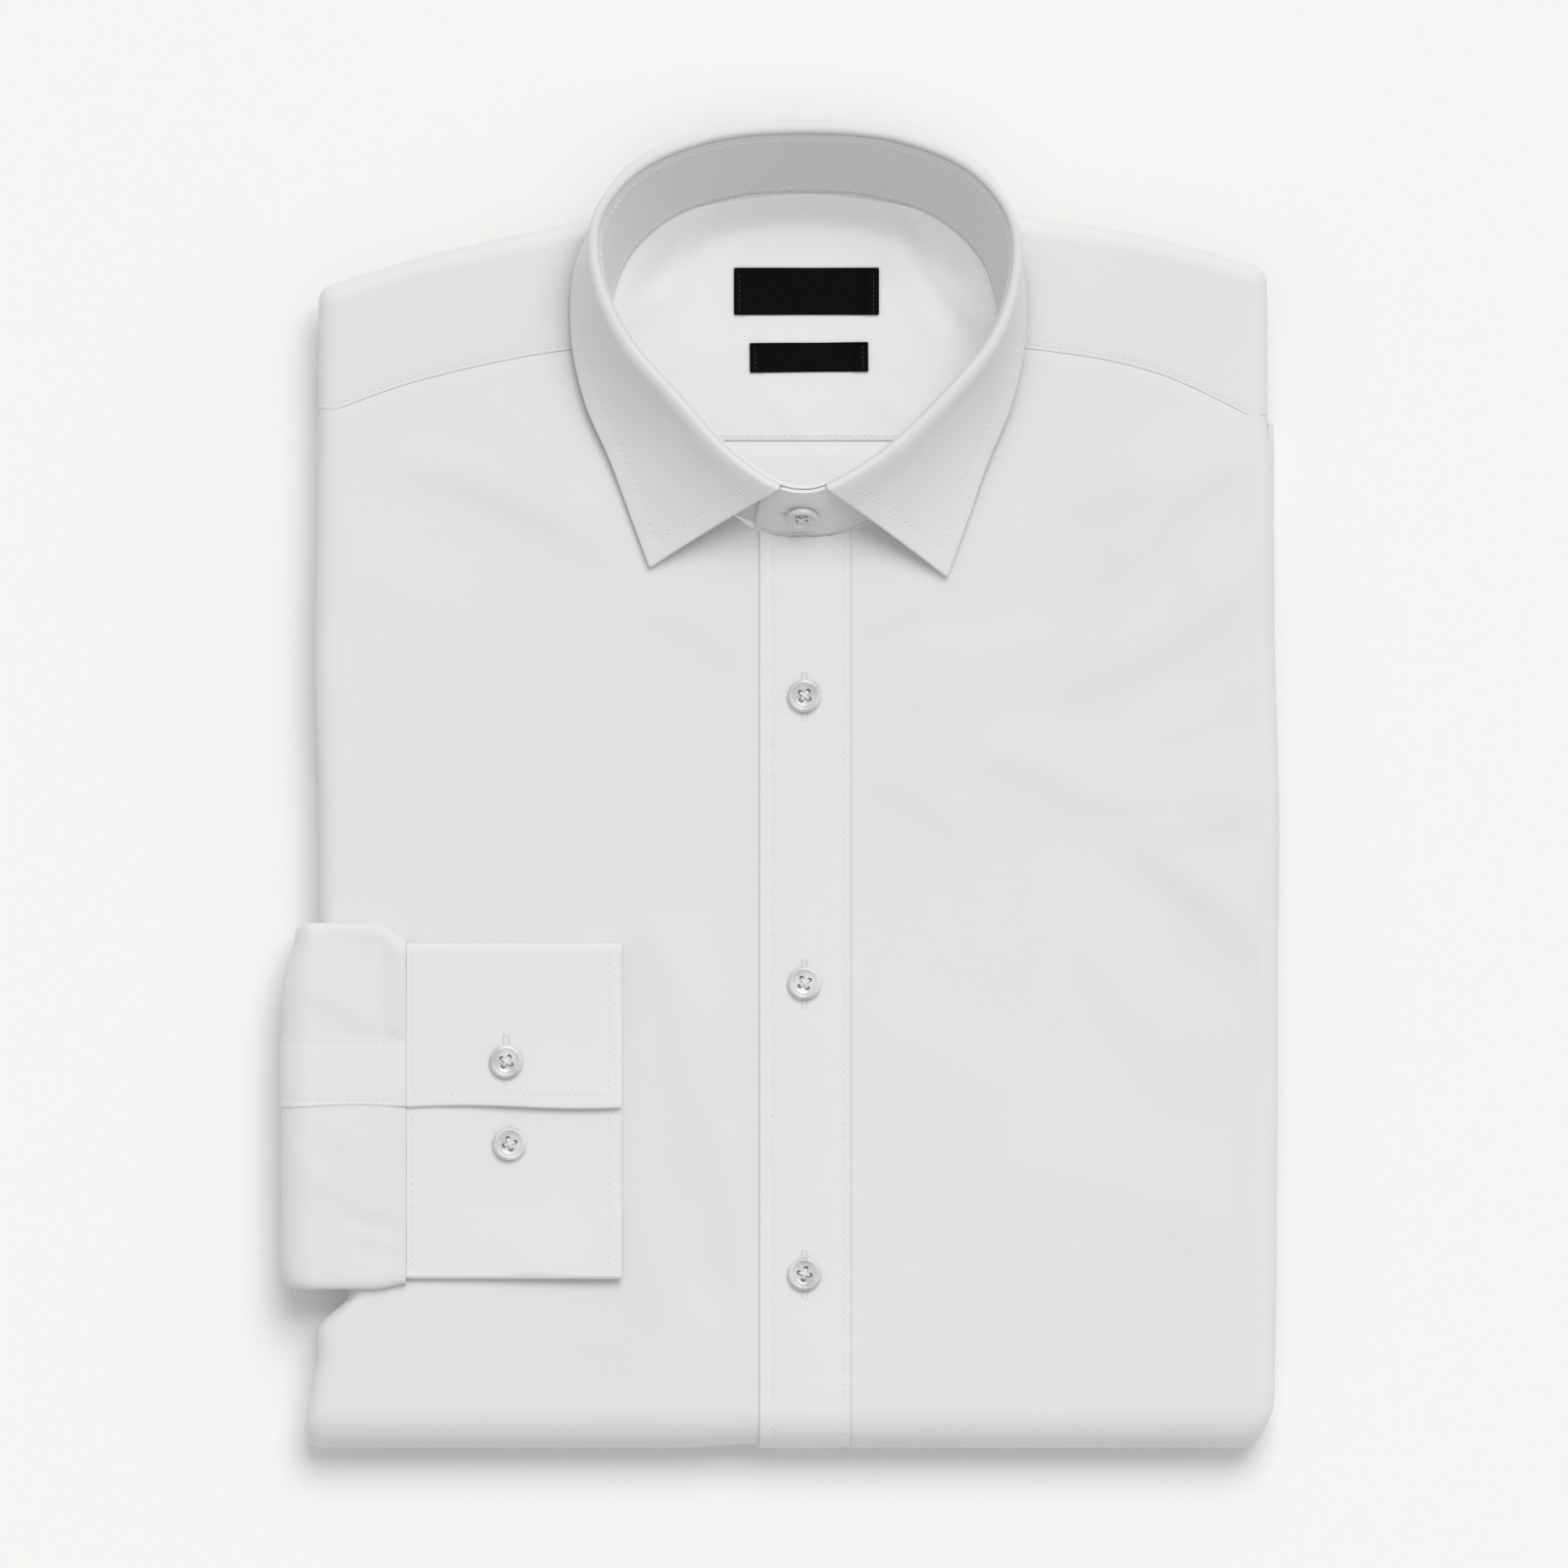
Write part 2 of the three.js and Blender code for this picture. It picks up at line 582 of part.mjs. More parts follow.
function stackPoint(u, v, w) {
  const level = edgeLayers[Math.round(w * (edgeLayers.length - 1))];
  const rows = stackRows.length + 1;
  const row = Math.round(v * rows);
  const foldReach = Math.sqrt(Math.max(coreFold ** 2 - (level.z - hip.z) ** 2, 0));
  const upper = level.z > hip.z;
  const nameOf = (side) => (upper ? side : `${side}Below`);
  const bottom = hip.y - foldReach;
  const sideY = row === 0 ? bottom : stackRows[Math.min(row, stackRows.length) - 1];
  const corner = (row === 0 || row === rows ? 5 : 0) + (row === 1 ? 1 : 0);
  const x = lerp(
    follow(sideFolds, 'y', nameOf('right'), sideY) + level.side + corner,
    follow(sideFolds, 'y', nameOf('left'), sideY) - level.side - corner,
    u,
  );
  const y = row === rows ? follow(shoulders, 'x', 'y', x) - level.top : sideY;
  return new THREE.Vector3(x, y, level.z);
}

const layers = shaped(
  new THREE.BoxGeometry(1, 1, 1, stackColumns, stackRows.length + 1, edgeLayers.length - 1),
  boxShare,
  stackPoint,
);
// Room for the dipped edge of the right front, and for the sleeve where it comes out.
const channel = { start: underLap.start - 1.5, end: underLap.end + 1.5, pastHem: 4 };
const lapChannel = sheet(1, rowCount, (u, v, w) => {
  const x = u > 0.5 ? channel.end : channel.start;
  const run = runOfRow(Math.round(v * rowCount), x) + (v === 1 ? channel.pastHem : 0);
  return onStack(x, run, lerp(half - lapDepth - cloth - gap, 10, w));
});
const sleeveRoom = block([-160, -162, 9.3], [-139, -42, 14.7]);
add('hidden_layers', cut(layers, neckPrism(recessFloor, 40), lapChannel, sleeveRoom), hiddenPoplin);

// ---------------------------------------------------------------- right sleeve

// The sleeve is a flattened tube. It comes out between the halves, turns up round the side
// in a loose bend and lies on the front, where the cuff is sewn to its end.
const sleeveWall = 1.1;
const lying = frontTop + gap; // underside of the sleeve and the cuff
const sleeve = {
  inY: { low: -158.6, high: -44.8 }, // its two folded edges
  start: -139.4, // x of the end inside the stack
  bend: -147.6, // x of the axis of the bend
  end: -118.9, // x of the cuff seam
  deep: 12, // height of its middle between the halves
  halfFlat: 1.45,
  halfBend: 2.8, // half its thickness, flat and in the bend
};
const sleeveMiddle = lying + sleeve.halfFlat;
const bendRadius = (sleeveMiddle - sleeve.deep) / 2;
const bendZ = (sleeveMiddle + sleeve.deep) / 2;

// Stations along the sleeve: straight inside, ten turns of the bend, straight on the front.
const bendSteps = 10;
const straightPlaces = [-141, -134, -126.5, sleeve.end];
const stations = 1 + bendSteps + 1 + straightPlaces.length;

// The middle of the sleeve at a station, and its outward direction as an angle from -Z.
function sleeveStation(k) {
  if (k === 0) {
    return { x: sleeve.start, z: sleeve.deep, turn: 0, halfHeight: sleeve.halfFlat };
  }
  if (k <= bendSteps + 1) {
    const turn = (Math.PI * (k - 1)) / bendSteps;
    return {
      x: sleeve.bend - Math.sin(turn) * bendRadius,
      z: bendZ - Math.cos(turn) * bendRadius,
      turn,
      halfHeight: lerp(sleeve.halfFlat, sleeve.halfBend, Math.sin(turn)),
    };
  }
  return {
    x: straightPlaces[k - bendSteps - 2], z: sleeveMiddle, turn: Math.PI, halfHeight: sleeve.halfFlat,
  };
}

// A place on the sleeve: `y` along its width and `out` from its middle, outside positive.
// The bend is drawn in at the upper edge, which rounds that corner.
function onSleeve(k, y, out) {
  const station = sleeveStation(k);
  const corner = 4.4 * smoothstep(y, -74, -46) ** 2 + 1.2 * smoothstep(-y, 150, 160);
  const drawn = Math.sin(station.turn) * corner;
  return new THREE.Vector3(
    station.x - Math.sin(station.turn) * out + drawn, y, station.z - Math.cos(station.turn) * out,
  );
}

// The flattened loop: across the outside, round one edge and back across the inside.
const edgeSteps = 3;
const acrossShares = [0.02, 0.16, 0.31, 0.46, 0.48, 0.66, 0.83, 0.98];
const loopCount = 2 * (acrossShares.length + edgeSteps);

function sleeveLoop(k, place, inset) {
  const { low, high } = sleeve.inY;
  const halfHeight = sleeveStation(k).halfHeight - inset;
  const reach = sleeveStation(k).halfHeight;
  const sideCount = acrossShares.length + edgeSteps;
  const outerSide = place < sideCount;
  const step = place % sideCount;
  const sign = outerSide ? 1 : -1;
  if (step < acrossShares.length) {
    const y = lerp(low + reach, high - reach, acrossShares[step]);
    return onSleeve(k, outerSide ? y : low + high - y, sign * halfHeight);
  }
  const turn = (Math.PI * (step - acrossShares.length + 1)) / (edgeSteps + 1);
  const middle = outerSide ? high - reach : low + reach;
  return onSleeve(k, middle + sign * Math.sin(turn) * halfHeight, sign * Math.cos(turn) * halfHeight);
}

const tubeTurns = 2 * stations;
const rightSleeve = shaped(
  new THREE.TorusGeometry(1, 0.5, tubeTurns, loopCount),
  uvShare,
  (u, v) => {
    const turn = Math.round(v * tubeTurns) % tubeTurns;
    const place = Math.round(u * loopCount) % loopCount;
    const inside = turn >= stations;
    return sleeveLoop(inside ? tubeTurns - 1 - turn : turn, place, inside ? sleeveWall : 0);
  },
);
add('right_sleeve', rightSleeve, poplin);

// The sleeve placket: a strip over the slit, whose free edge runs on from the cuff's.
const lapEdge = -102.1;
const slit = { low: lapEdge, high: -79.8, firstStation: 3 };
const slitStations = stations - 1 - slit.firstStation;
const sleevePlacket = sheet(3, slitStations, (u, v, w) => {
  const k = slit.firstStation + Math.round(v * slitStations);
  const y = lerp(slit.low, slit.high, u);
  return onSleeve(k, y, sleeveStation(k).halfHeight + gap + cloth * w);
});
add('sleeve_placket', sleevePlacket, facedPoplin);

// ---------------------------------------------------------------- right cuff

// A strip wound once round: the upper flap, the far fold, the layer underneath, the near
// fold and the lower lap, which ends beneath the flap.
const cuff = { seam: sleeve.end + gap, end: -50.4, high: -50.1, low: -156.4, lapEnd: -78 };
const layerMiddle = {
  under: lying + cloth / 2,
  lap: lying + cloth * 1.5 + 0.5,
  flap: lying + cloth * 2.5 + 0.5 + gap,
};

function cuffFold(y, fromZ, toZ, side) {
  const radius = Math.abs(fromZ - toZ) / 2;
  const centre = y - side * (radius + cloth / 2);
  const points = [];
  const steps = 6;
  for (let k = 0; k <= steps; k += 1) {
    const turn = (Math.PI * k) / steps;
    points.push(new THREE.Vector2(
      centre + side * Math.sin(turn) * radius,
      (fromZ + toZ) / 2 + Math.cos(turn) * ((fromZ - toZ) / 2),
    ));
  }
  return points;
}

const cuffPath = [
  new THREE.Vector2(lapEdge, layerMiddle.flap),
  new THREE.Vector2(-78, layerMiddle.flap),
  ...cuffFold(cuff.high, layerMiddle.flap, layerMiddle.under, 1),
  new THREE.Vector2(-103, layerMiddle.under),
  ...cuffFold(cuff.low, layerMiddle.under, layerMiddle.lap, -1),
  new THREE.Vector2(lapEdge - 2, layerMiddle.lap),
  new THREE.Vector2(cuff.lapEnd, layerMiddle.lap),
];

function cuffPoint(k, side, x) {
  const before = cuffPath[Math.max(k - 1, 0)];
  const after = cuffPath[Math.min(k + 1, cuffPath.length - 1)];
  const along = after.clone().sub(before).normalize();
  return new THREE.Vector3(x, cuffPath[k].x - along.y * side, cuffPath[k].y + along.x * side);
}

const cuffSteps = cuffPath.length - 1;
add('right_cuff', sheet(3, cuffSteps, (u, v, w) => cuffPoint(
  Math.round(v * cuffSteps), cloth * (w - 0.5), lerp(cuff.seam, cuff.end, u),
)), facedPoplin);

// ---------------------------------------------------------------- buttons and labels

const button = { radius: 5.3, thick: 2.4, holeRadius: 0.8, holeAt: 1.25 };
const buttonProfile = [
  [0, 0], [3.8, 0], [button.radius, 1.2], [5, button.thick], [4.2, button.thick], [3.4, 1.7], [0, 1.5],
].map(([radius, height]) => new THREE.Vector2(radius, height));

function buttonSolid() {
  const disc = new THREE.LatheGeometry(buttonProfile, 16);
  disc.rotateX(Math.PI / 2);
  const holes = [[1, 1], [1, -1], [-1, 1], [-1, -1]].map(([across, along]) => {
    const hole = new THREE.CylinderGeometry(button.holeRadius, button.holeRadius, 6, 6);
    hole.rotateX(Math.PI / 2);
    hole.translate(across * button.holeAt, along * button.holeAt, 0);
    return closed(hole);
  });
  return cut(closed(disc), ...holes);
}

frontButtons.forEach((y, k) => {
  add(`front_button_${k + 1}`, buttonSolid(), shell).position.set(buttonLine, y, frontTop + gap);
});
const cuffButtons = [
  { x: -87, y: -87.6, z: layerMiddle.flap + cloth / 2 + gap },
  { x: -86, y: -113.6, z: layerMiddle.lap + cloth / 2 + gap },
];
cuffButtons.forEach((place, k) => {
  add(`cuff_button_${k + 1}`, buttonSolid(), shell).position.set(place.x, place.y, place.z);
});

// The collar button faces out of the sloping stand.
const buttonShare = 0.5;
const buttonRow = 1 - (standLap.turns - 0.1) / (standEnd - standStart);
const standSpot = raised(standSurface, buttonRow, buttonShare, -band / 2 - gap - 0.2);
const standNormal = standSpot.clone().sub(standSurface(buttonRow, buttonShare)).normalize();
const collarButton = add('collar_button', buttonSolid(), shell);
collarButton.position.copy(standSpot);
collarButton.quaternion.setFromUnitVectors(new THREE.Vector3(0, 0, 1), standNormal);

// Two plain woven labels on the inner yoke.
const labelThick = 1;
const labelZ = dish.floor + cloth + gap + labelThick / 2;
const labels = [
  { name: 'neck_label', x: 7.9, y: 156.1, width: 45.9, height: 14.9, tilt: 0 },
  { name: 'size_label', x: 8.7, y: 135.2, width: 37.5, height: 9.3, tilt: 0.5 },
];
labels.forEach((label) => {
  const piece = new THREE.BoxGeometry(label.width, label.height, labelThick);
  const patch = add(label.name, closed(piece), satin);
  patch.position.set(label.x, label.y, labelZ);
  patch.rotation.z = degToRad(label.tilt);
});

// The origin is the middle of the underside.
const extent = new THREE.Box3().setFromObject(shirt, true);
const middle = extent.getCenter(new THREE.Vector3());
shirt.position.set(-middle.x, -middle.y, -extent.min.z);

export default shirt;
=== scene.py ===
# %% [markdown]
# # A folded dress shirt
#
# A white poplin dress shirt, buttoned, its sides turned to the back, folded in half at the hips and laid
# on its lower half. One sleeve comes out of the side and its cuff lies on the front.
#
# The solids of the shirt are already in the frame, at their real size. Here each cut piece of cloth is made
# again as a thin shell on the form of its solid, with its creases, its turned edges and its sewing. Cloth
# could be simulated, but a pressed and folded shirt keeps the lines its folder gave it, so every surface is
# worked out from the same short tables of sizes as the solids, and the creases are listed one by one.

# %% Load the frame
import math

import bpy
import numpy as np
from mathutils import Matrix, Vector


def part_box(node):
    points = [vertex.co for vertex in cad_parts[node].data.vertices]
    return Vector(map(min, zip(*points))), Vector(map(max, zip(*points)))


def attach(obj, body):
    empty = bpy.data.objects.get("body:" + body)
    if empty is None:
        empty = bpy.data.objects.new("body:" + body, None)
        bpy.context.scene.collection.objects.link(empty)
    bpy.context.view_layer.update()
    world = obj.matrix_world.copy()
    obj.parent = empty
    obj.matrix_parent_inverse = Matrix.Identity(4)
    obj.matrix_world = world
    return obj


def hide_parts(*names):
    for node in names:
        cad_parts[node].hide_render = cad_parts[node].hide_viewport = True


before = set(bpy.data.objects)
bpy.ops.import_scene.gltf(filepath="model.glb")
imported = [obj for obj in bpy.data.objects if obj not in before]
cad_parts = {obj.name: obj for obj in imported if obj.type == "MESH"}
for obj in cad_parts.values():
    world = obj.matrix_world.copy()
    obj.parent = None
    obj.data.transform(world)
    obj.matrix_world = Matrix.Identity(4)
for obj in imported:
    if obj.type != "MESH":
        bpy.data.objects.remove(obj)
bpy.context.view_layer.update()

scene = bpy.context.scene

# %% [markdown]
# ## One set of sizes
#
# Sizes are in millimetres, measured from the same place as the solids: +X to the wearer's left, +Y to the
# collar, +Z up. The middle front button tells where that place is in the frame.

# %% Place the tables in the frame
MM = 0.001
BUTTON_LINE = 7.3
FRONT_BUTTONS = [28.1, -62.8, -154.8]
low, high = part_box("front_button_2")
shift = np.array([*((low + high) / 2)[:2], 0]) - np.array([BUTTON_LINE, FRONT_BUTTONS[1], 0]) * MM
print("tables moved by", np.round(shift / MM, 2), "mm")


def in_frame(points):
    """Metres in the frame, from millimetres of the tables."""
    return np.asarray(points) * MM + shift


def in_tables(place):
    return (np.array(place) - shift) / MM


# %% [markdown]
# The body is folded over two flat plates, upper and lower. Cloth goes round each at the distance `HALF`, and
# both are closed by the bottom fold at the hips.

# %% Sizes that several pieces share
CLOTH, GAP = 1.2, 0.3  # thickness of a piece, and room between two
HALF = 6  # from the middle of a plate to the outside of its cloth
HIP_Y, HIP_Z = -198, 12  # axis of the bottom fold
UPPER_MIDDLE = 18
FRONT_TOP = UPPER_MIDDLE + HALF
PLACKET_LEFT, PLACKET_RIGHT = -7, 21.9
LAP_START, LAP_SUNK, LAP_END = -34, -8.5, 18  # the right front sinks here, to run on beneath the placket
LAP_DEPTH = 1.1

# %% [markdown]
# ## The camera
#
# The shirt is seen from straight above through a very long lens, so the raised collar keeps its true place
# over the front.

# %% Camera
VIEW_WIDTH = 0.496
LENS, SENSOR = 900, 36
view_middle = in_frame([0.78, 0.15, FRONT_TOP])
camera_height = Vector((0, 0, VIEW_WIDTH * LENS / SENSOR))
bpy.ops.object.camera_add(location=Vector(view_middle) + camera_height, rotation=(0, 0, 0))
camera = bpy.context.object
camera.name = "camera"
camera.data.lens = LENS
camera.data.sensor_width = SENSOR
camera.data.clip_end = 50
scene.camera = camera
print("camera height", round(camera.location.z, 3), "m")


# %% [markdown]
# ## Helpers for lines and tables
#
# A few columns of numbers with names carry each edge of the shirt. `follow` reads a smooth line through such
# a table, and `spline` runs a smooth curve through points in space. `smooth` is a soft step from 0 to 1, and
# `plateau` is 1 between two places and fades out beyond them.

# %% Lines through tables
def table(columns, *rows):
    return dict(zip(columns.split(), np.array(rows, dtype=float).T))


def rows_of(columns):
    """The rows of a table, each as names and values."""
    return [dict(zip(columns, row)) for row in zip(*columns.values())]


def smooth(value, start, end):
    share = np.clip((value - start) / (end - start), 0, 1)
    return share * share * (3 - 2 * share)


def plateau(value, start, end, before, after):
    return smooth(value, start - before, start) * (1 - smooth(value, end, end + after))


def trough(distance, width):
    return np.exp(-((distance / width) ** 2))


def stacked(*parts):
    """Points from their coordinates, each an array or a number."""
    return np.stack(np.broadcast_arrays(*parts), axis=-1)


def joined(*spans):
    """Steps along spans, each a start, an end and a count. A place where two spans meet counts once."""
    steps = np.concatenate([np.linspace(*span) for span in spans])
    return steps[np.append(True, np.diff(steps) != 0)]


def unit(vectors):
    return vectors / np.maximum(np.linalg.norm(vectors, axis=-1, keepdims=True), 1e-12)


def follow(rows, known, wanted, value):
    x, y = rows[known], rows[wanted]
    before = np.maximum(np.arange(len(x)) - 1, 0)
    after = np.minimum(np.arange(len(x)) + 1, len(x) - 1)
    slope = (y[after] - y[before]) / (x[after] - x[before])
    held = np.clip(value, x[0], x[-1])
    k = np.clip(np.searchsorted(x, held), 1, len(x) - 1)
    span = x[k] - x[k - 1]
    t = (held - x[k - 1]) / span
    lift = t * (1 - t) ** 2 * slope[k - 1] - t * t * (1 - t) * slope[k]
    return y[k - 1] + (y[k] - y[k - 1]) * t * t * (3 - 2 * t) + span * lift


def spline(points, t, closed=False):
    t = np.asarray(t, dtype=float)
    if closed:
        padded = np.concatenate([points[-1:], points, points[:2]])
        count = len(points)
        place = (t % 1) * count
    else:
        padded = np.concatenate([2 * points[:1] - points[1:2], points, 2 * points[-1:] - points[-2:-1]])
        count = len(points) - 1
        place = np.clip(t, 0, 1) * count
    k = np.minimum(place.astype(int), count - 1)
    w = (place - k).reshape(t.shape + (1,) * (points.ndim - 1))
    a, b, c, d = (padded[k + step] for step in range(4))
    ab, bc, cd = (
        np.maximum(np.sum((q - p) ** 2, axis=-1, keepdims=True), 1e-8) ** 0.25
        for p, q in [(a, b), (b, c), (c, d)]
    )
    leaving = ((b - a) / ab - (c - a) / (ab + bc) + (c - b) / bc) * bc
    arriving = ((c - b) / bc - (d - b) / (bc + cd) + (d - c) / cd) * bc
    return (
        b + leaving * w + (3 * (c - b) - 2 * leaving - arriving) * w**2
        + (2 * (b - c) + leaving + arriving) * w**3
    )


# %% [markdown]
# A soft fold is a ridge along a line, steeper on one side. It starts and ends softly, bends to one side and
# grows a little wider as it goes.

# %% Soft folds
def crease_sum(rows, x, y, steep=0.8, gentle=1.7):
    """Height of a table of soft folds, each with a start, an end, a bend, a width and a height."""
    total = np.zeros(np.broadcast(x, y).shape)
    for line in rows_of(rows):
        ahead = np.array([line["to_x"] - line["x"], line["to_y"] - line["y"]])
        length = math.hypot(*ahead)
        ahead = ahead / length
        along = ((x - line["x"]) * ahead[0] + (y - line["y"]) * ahead[1]) / length
        across = (y - line["y"]) * ahead[0] - (x - line["x"]) * ahead[1]
        across = across - line["bend"] * 4 * along * (1 - along)
        width = line["width"] * np.where(across > 0, gentle, steep) * (0.8 + 0.5 * np.clip(along, 0, 1))
        fade = smooth(along, -0.15, 0.35) * (1 - smooth(along, 0.7, 1.12))
        total = total + line["height"] * fade * trough(across, width)
    return total


# %% [markdown]
# ## Cloth with a turned edge
#
# A cut piece of cloth is a grid of points on its outer face. The wall goes to its inner face, and the two
# faces are joined by a half round rim, as where the cloth is turned in and pressed. Along a seam the rim is
# nearly square, so two pieces meet in a fine line. The grid's own lengths make its UV map, in metres, so the
# weave keeps its scale round every fold.

# %% Make and select an object
def add_piece(name, points, faces, edges=()):
    """A new object at the origin, from points in metres in the frame."""
    mesh = bpy.data.meshes.new(name)
    mesh.from_pydata(points.tolist(), edges, faces)
    piece = bpy.data.objects.new(name, mesh)
    scene.collection.objects.link(piece)
    return piece


def select_only(piece):
    bpy.ops.object.select_all(action="DESELECT")
    piece.select_set(True)
    bpy.context.view_layer.objects.active = piece


def edit(piece, *steps):
    """Take steps in edit mode on all of a piece. Each step is an operator and its settings."""
    select_only(piece)
    bpy.ops.object.mode_set(mode="EDIT")
    for operator, settings in steps:
        bpy.ops.mesh.select_all(action="SELECT")
        operator(**settings)
    bpy.ops.object.mode_set(mode="OBJECT")


# %% Grids of points
def grid_normals(points, closed=False):
    if closed:
        across = np.roll(points, -1, axis=1) - np.roll(points, 1, axis=1)
    else:
        across = np.gradient(points, axis=1)
    return unit(np.cross(across, np.gradient(points, axis=0)))


def grid_lengths(points, closed):
    ring = np.concatenate([points, points[:, :1]], axis=1) if closed else points
    across = np.linalg.norm(np.diff(ring, axis=1), axis=2).mean(axis=0)
    along = np.linalg.norm(np.diff(points, axis=0), axis=2).mean(axis=1)
    return np.concatenate([[0], np.cumsum(across)]), np.concatenate([[0], np.cumsum(along)])


def grid_quads(index):
    return np.stack([index[:-1, :-1], index[:-1, 1:], index[1:, 1:], index[1:, :-1]], axis=-1).reshape(-1, 4)


def quads_between(loop, after):
    return np.stack([loop, after, np.roll(after, -1), np.roll(loop, -1)], axis=-1)


def mesh_piece(name, points, quads, flat, round_length=None):
    """flat: a place on the cut cloth for each point. round_length: the way round a tube, where it wraps."""
    corners = points[quads]
    volume = np.sum(corners[:, 0] * np.cross(corners[:, 1], corners[:, 2]))
    volume += np.sum(corners[:, 0] * np.cross(corners[:, 2], corners[:, 3]))
    if volume < 0:
        quads = quads[:, ::-1]
    weave = flat[quads]
    if round_length is not None:
        wraps = weave[:, :, 0].max(axis=1) - weave[:, :, 0].min(axis=1) > round_length / 2
        weave[:, :, 0] += wraps[:, None] * (weave[:, :, 0] < round_length / 2) * round_length
    piece = add_piece(name, in_frame(points), quads.tolist())
    layer = piece.data.uv_layers.new(name="weave")
    layer.data.foreach_set("uv", (weave * MM).reshape(-1))
    piece.data.shade_smooth()
    piece.data.set_sharp_from_angle(angle=SHARP)
    piece.data.update()
    return piece


# %% Rims
RIM_TURNS = 3
TURNED, SEWN = 1.0, 0.08  # how round the rim is at a free edge and along a seam
SEAM_ROOM = 0.02
SHARP = math.radians(52)


def seam_inset(wall):
    """How far a sewn edge stays from its seam line."""
    return SEAM_ROOM + SEWN * wall / 2


def rim_loops(index, closed):
    if closed:
        return [index[0], index[-1][::-1]]
    top, bottom = index[0, :-1], index[-1, :0:-1]
    return [np.concatenate([top, index[:-1, -1], bottom, index[:0:-1, 0]])]


def rim_reach(outer, edges, closed):
    """Which way, and how far for its wall, the rim stands out at each point of the grid."""
    away = np.zeros_like(outer)
    away[0] += unit(outer[0] - outer[1]) * edges[0]
    away[-1] += unit(outer[-1] - outer[-2]) * edges[1]
    if not closed:
        away[:, 0] += unit(outer[:, 0] - outer[:, 1]) * edges[2]
        away[:, -1] += unit(outer[:, -1] - outer[:, -2]) * edges[3]
    return away / np.maximum(np.linalg.norm(away, axis=-1, keepdims=True), 1)


# %% Build a shell of cloth
def shell(name, outer, wall, side, closed=False, edges=(TURNED, TURNED, TURNED, TURNED)):
    """edges: how round the rim is along the first row, last row, first column and last column."""
    rows, columns = outer.shape[:2]
    count = rows * columns
    index = np.arange(count).reshape(rows, columns)
    faces = grid_quads(np.concatenate([index, index[:, :1]], axis=1) if closed else index)
    inner = outer - grid_normals(outer, closed) * side * wall
    reach, length = grid_lengths(outer, closed)
    on_cut = np.stack([np.tile(reach[:columns], (rows, 1)).reshape(-1), np.repeat(length, columns)], axis=1)
    away = rim_reach(outer, edges, closed).reshape(-1, 3)
    quads = [faces, faces[:, ::-1] + count]
    points, flat = [outer.reshape(-1, 3), inner.reshape(-1, 3)], [on_cut, on_cut]
    made = 2 * count
    for loop in rim_loops(index, closed):
        last = loop
        middle = (points[0][loop] + points[1][loop]) / 2
        half_wall = (points[0][loop] - points[1][loop]) / 2
        for turn in math.pi * np.arange(1, RIM_TURNS + 1) / (RIM_TURNS + 1):
            points.append(middle + half_wall * math.cos(turn) + away[loop] * math.sin(turn) * wall / 2)
            flat.append(on_cut[loop])
            this = np.arange(made, made + len(loop))
            made += len(loop)
            quads.append(quads_between(last, this))
            last = this
        quads.append(quads_between(last, loop + count))
    round_length = reach[-1] if closed else None
    return mesh_piece(name, np.concatenate(points), np.concatenate(quads), np.concatenate(flat), round_length)


# %% [markdown]
# ## Poplin
#
# Poplin is a tight plain weave, so close up it has a fine grain, and from afar only a soft sheen and slight
# changes of tone are seen. The weave is two wave patterns multiplied, warp by weft, on the UV map in metres.
# Uneven yarns are two stretched noises. Collar stand, cuffs and placket are lined, which makes them a little
# lighter and smoother. The collar leaf is lined too, but has a darker copy of the poplin: painted shade for
# its falling slope. The inner yoke and back have a lighter copy: painted light against the shade in the neck
# opening. All of it reads the cloth's own map or the piece's own coordinates.
#
# Every finish of the shirt needs the same few nodes. `plug` sets a socket to a value or links an output to
# it.

# %% Nodes of a material
WAVE_UNIT = 2 * math.pi / 20  # a wave texture of scale 1 repeats after this many metres


def shader_of(material):
    return material.node_tree.nodes["Principled BSDF"]


def plug(material, value, socket):
    if isinstance(value, bpy.types.NodeSocket):
        material.node_tree.links.new(value, socket)
    else:
        socket.default_value = value


def add_node(material, kind, **sockets):
    node = material.node_tree.nodes.new("ShaderNode" + kind)
    for name, value in sockets.items():
        plug(material, value, node.inputs[name])
    return node


def new_material(name, shading):
    material = bpy.data.materials.new(name)
    material.use_nodes = True
    for socket, value in shading.items():
        plug(material, value, shader_of(material).inputs[socket])
    return material


def coordinates(material, kind):
    return add_node(material, "TexCoord").outputs[kind]


def wave(material, vector, direction, pitch_mm):
    band = add_node(material, "TexWave", Scale=WAVE_UNIT / (pitch_mm * MM), Vector=vector)
    band.bands_direction = direction
    return band.outputs["Color"]


def noise(material, vector, stretch, detail=2.0):
    place = add_node(material, "Mapping", Scale=stretch, Vector=vector).outputs["Vector"]
    return add_node(material, "TexNoise", Scale=1.0, Detail=detail, Vector=place).outputs["Fac"]


def combine(material, operation, first, second):
    node = add_node(material, "Math")
    node.operation = operation
    plug(material, first, node.inputs[0])
    plug(material, second, node.inputs[1])
    return node.outputs["Value"]


def relief(material, height, depth_mm, strength=0.5):
    bump = add_node(material, "Bump", Strength=strength, Distance=depth_mm * MM, Height=height)
    plug(material, bump.outputs["Normal"], shader_of(material).inputs["Normal"])


def tint(material, share, dark, light, low=0.0, high=1.0):
    """Colour from dark, where the share is low, to light, where it is high."""
    ramp = add_node(material, "ValToRGB", Fac=share)
    for stop, place, colour in zip(ramp.color_ramp.elements, (low, high), (dark, light)):
        stop.position = place
        stop.color = (*colour, 1)
    plug(material, ramp.outputs["Color"], shader_of(material).inputs["Base Color"])


# %% Woven cloth
YARN = 0.36
WARP_SLUBS, WEFT_SLUBS = (1900, 45, 1), (45, 1900, 1)


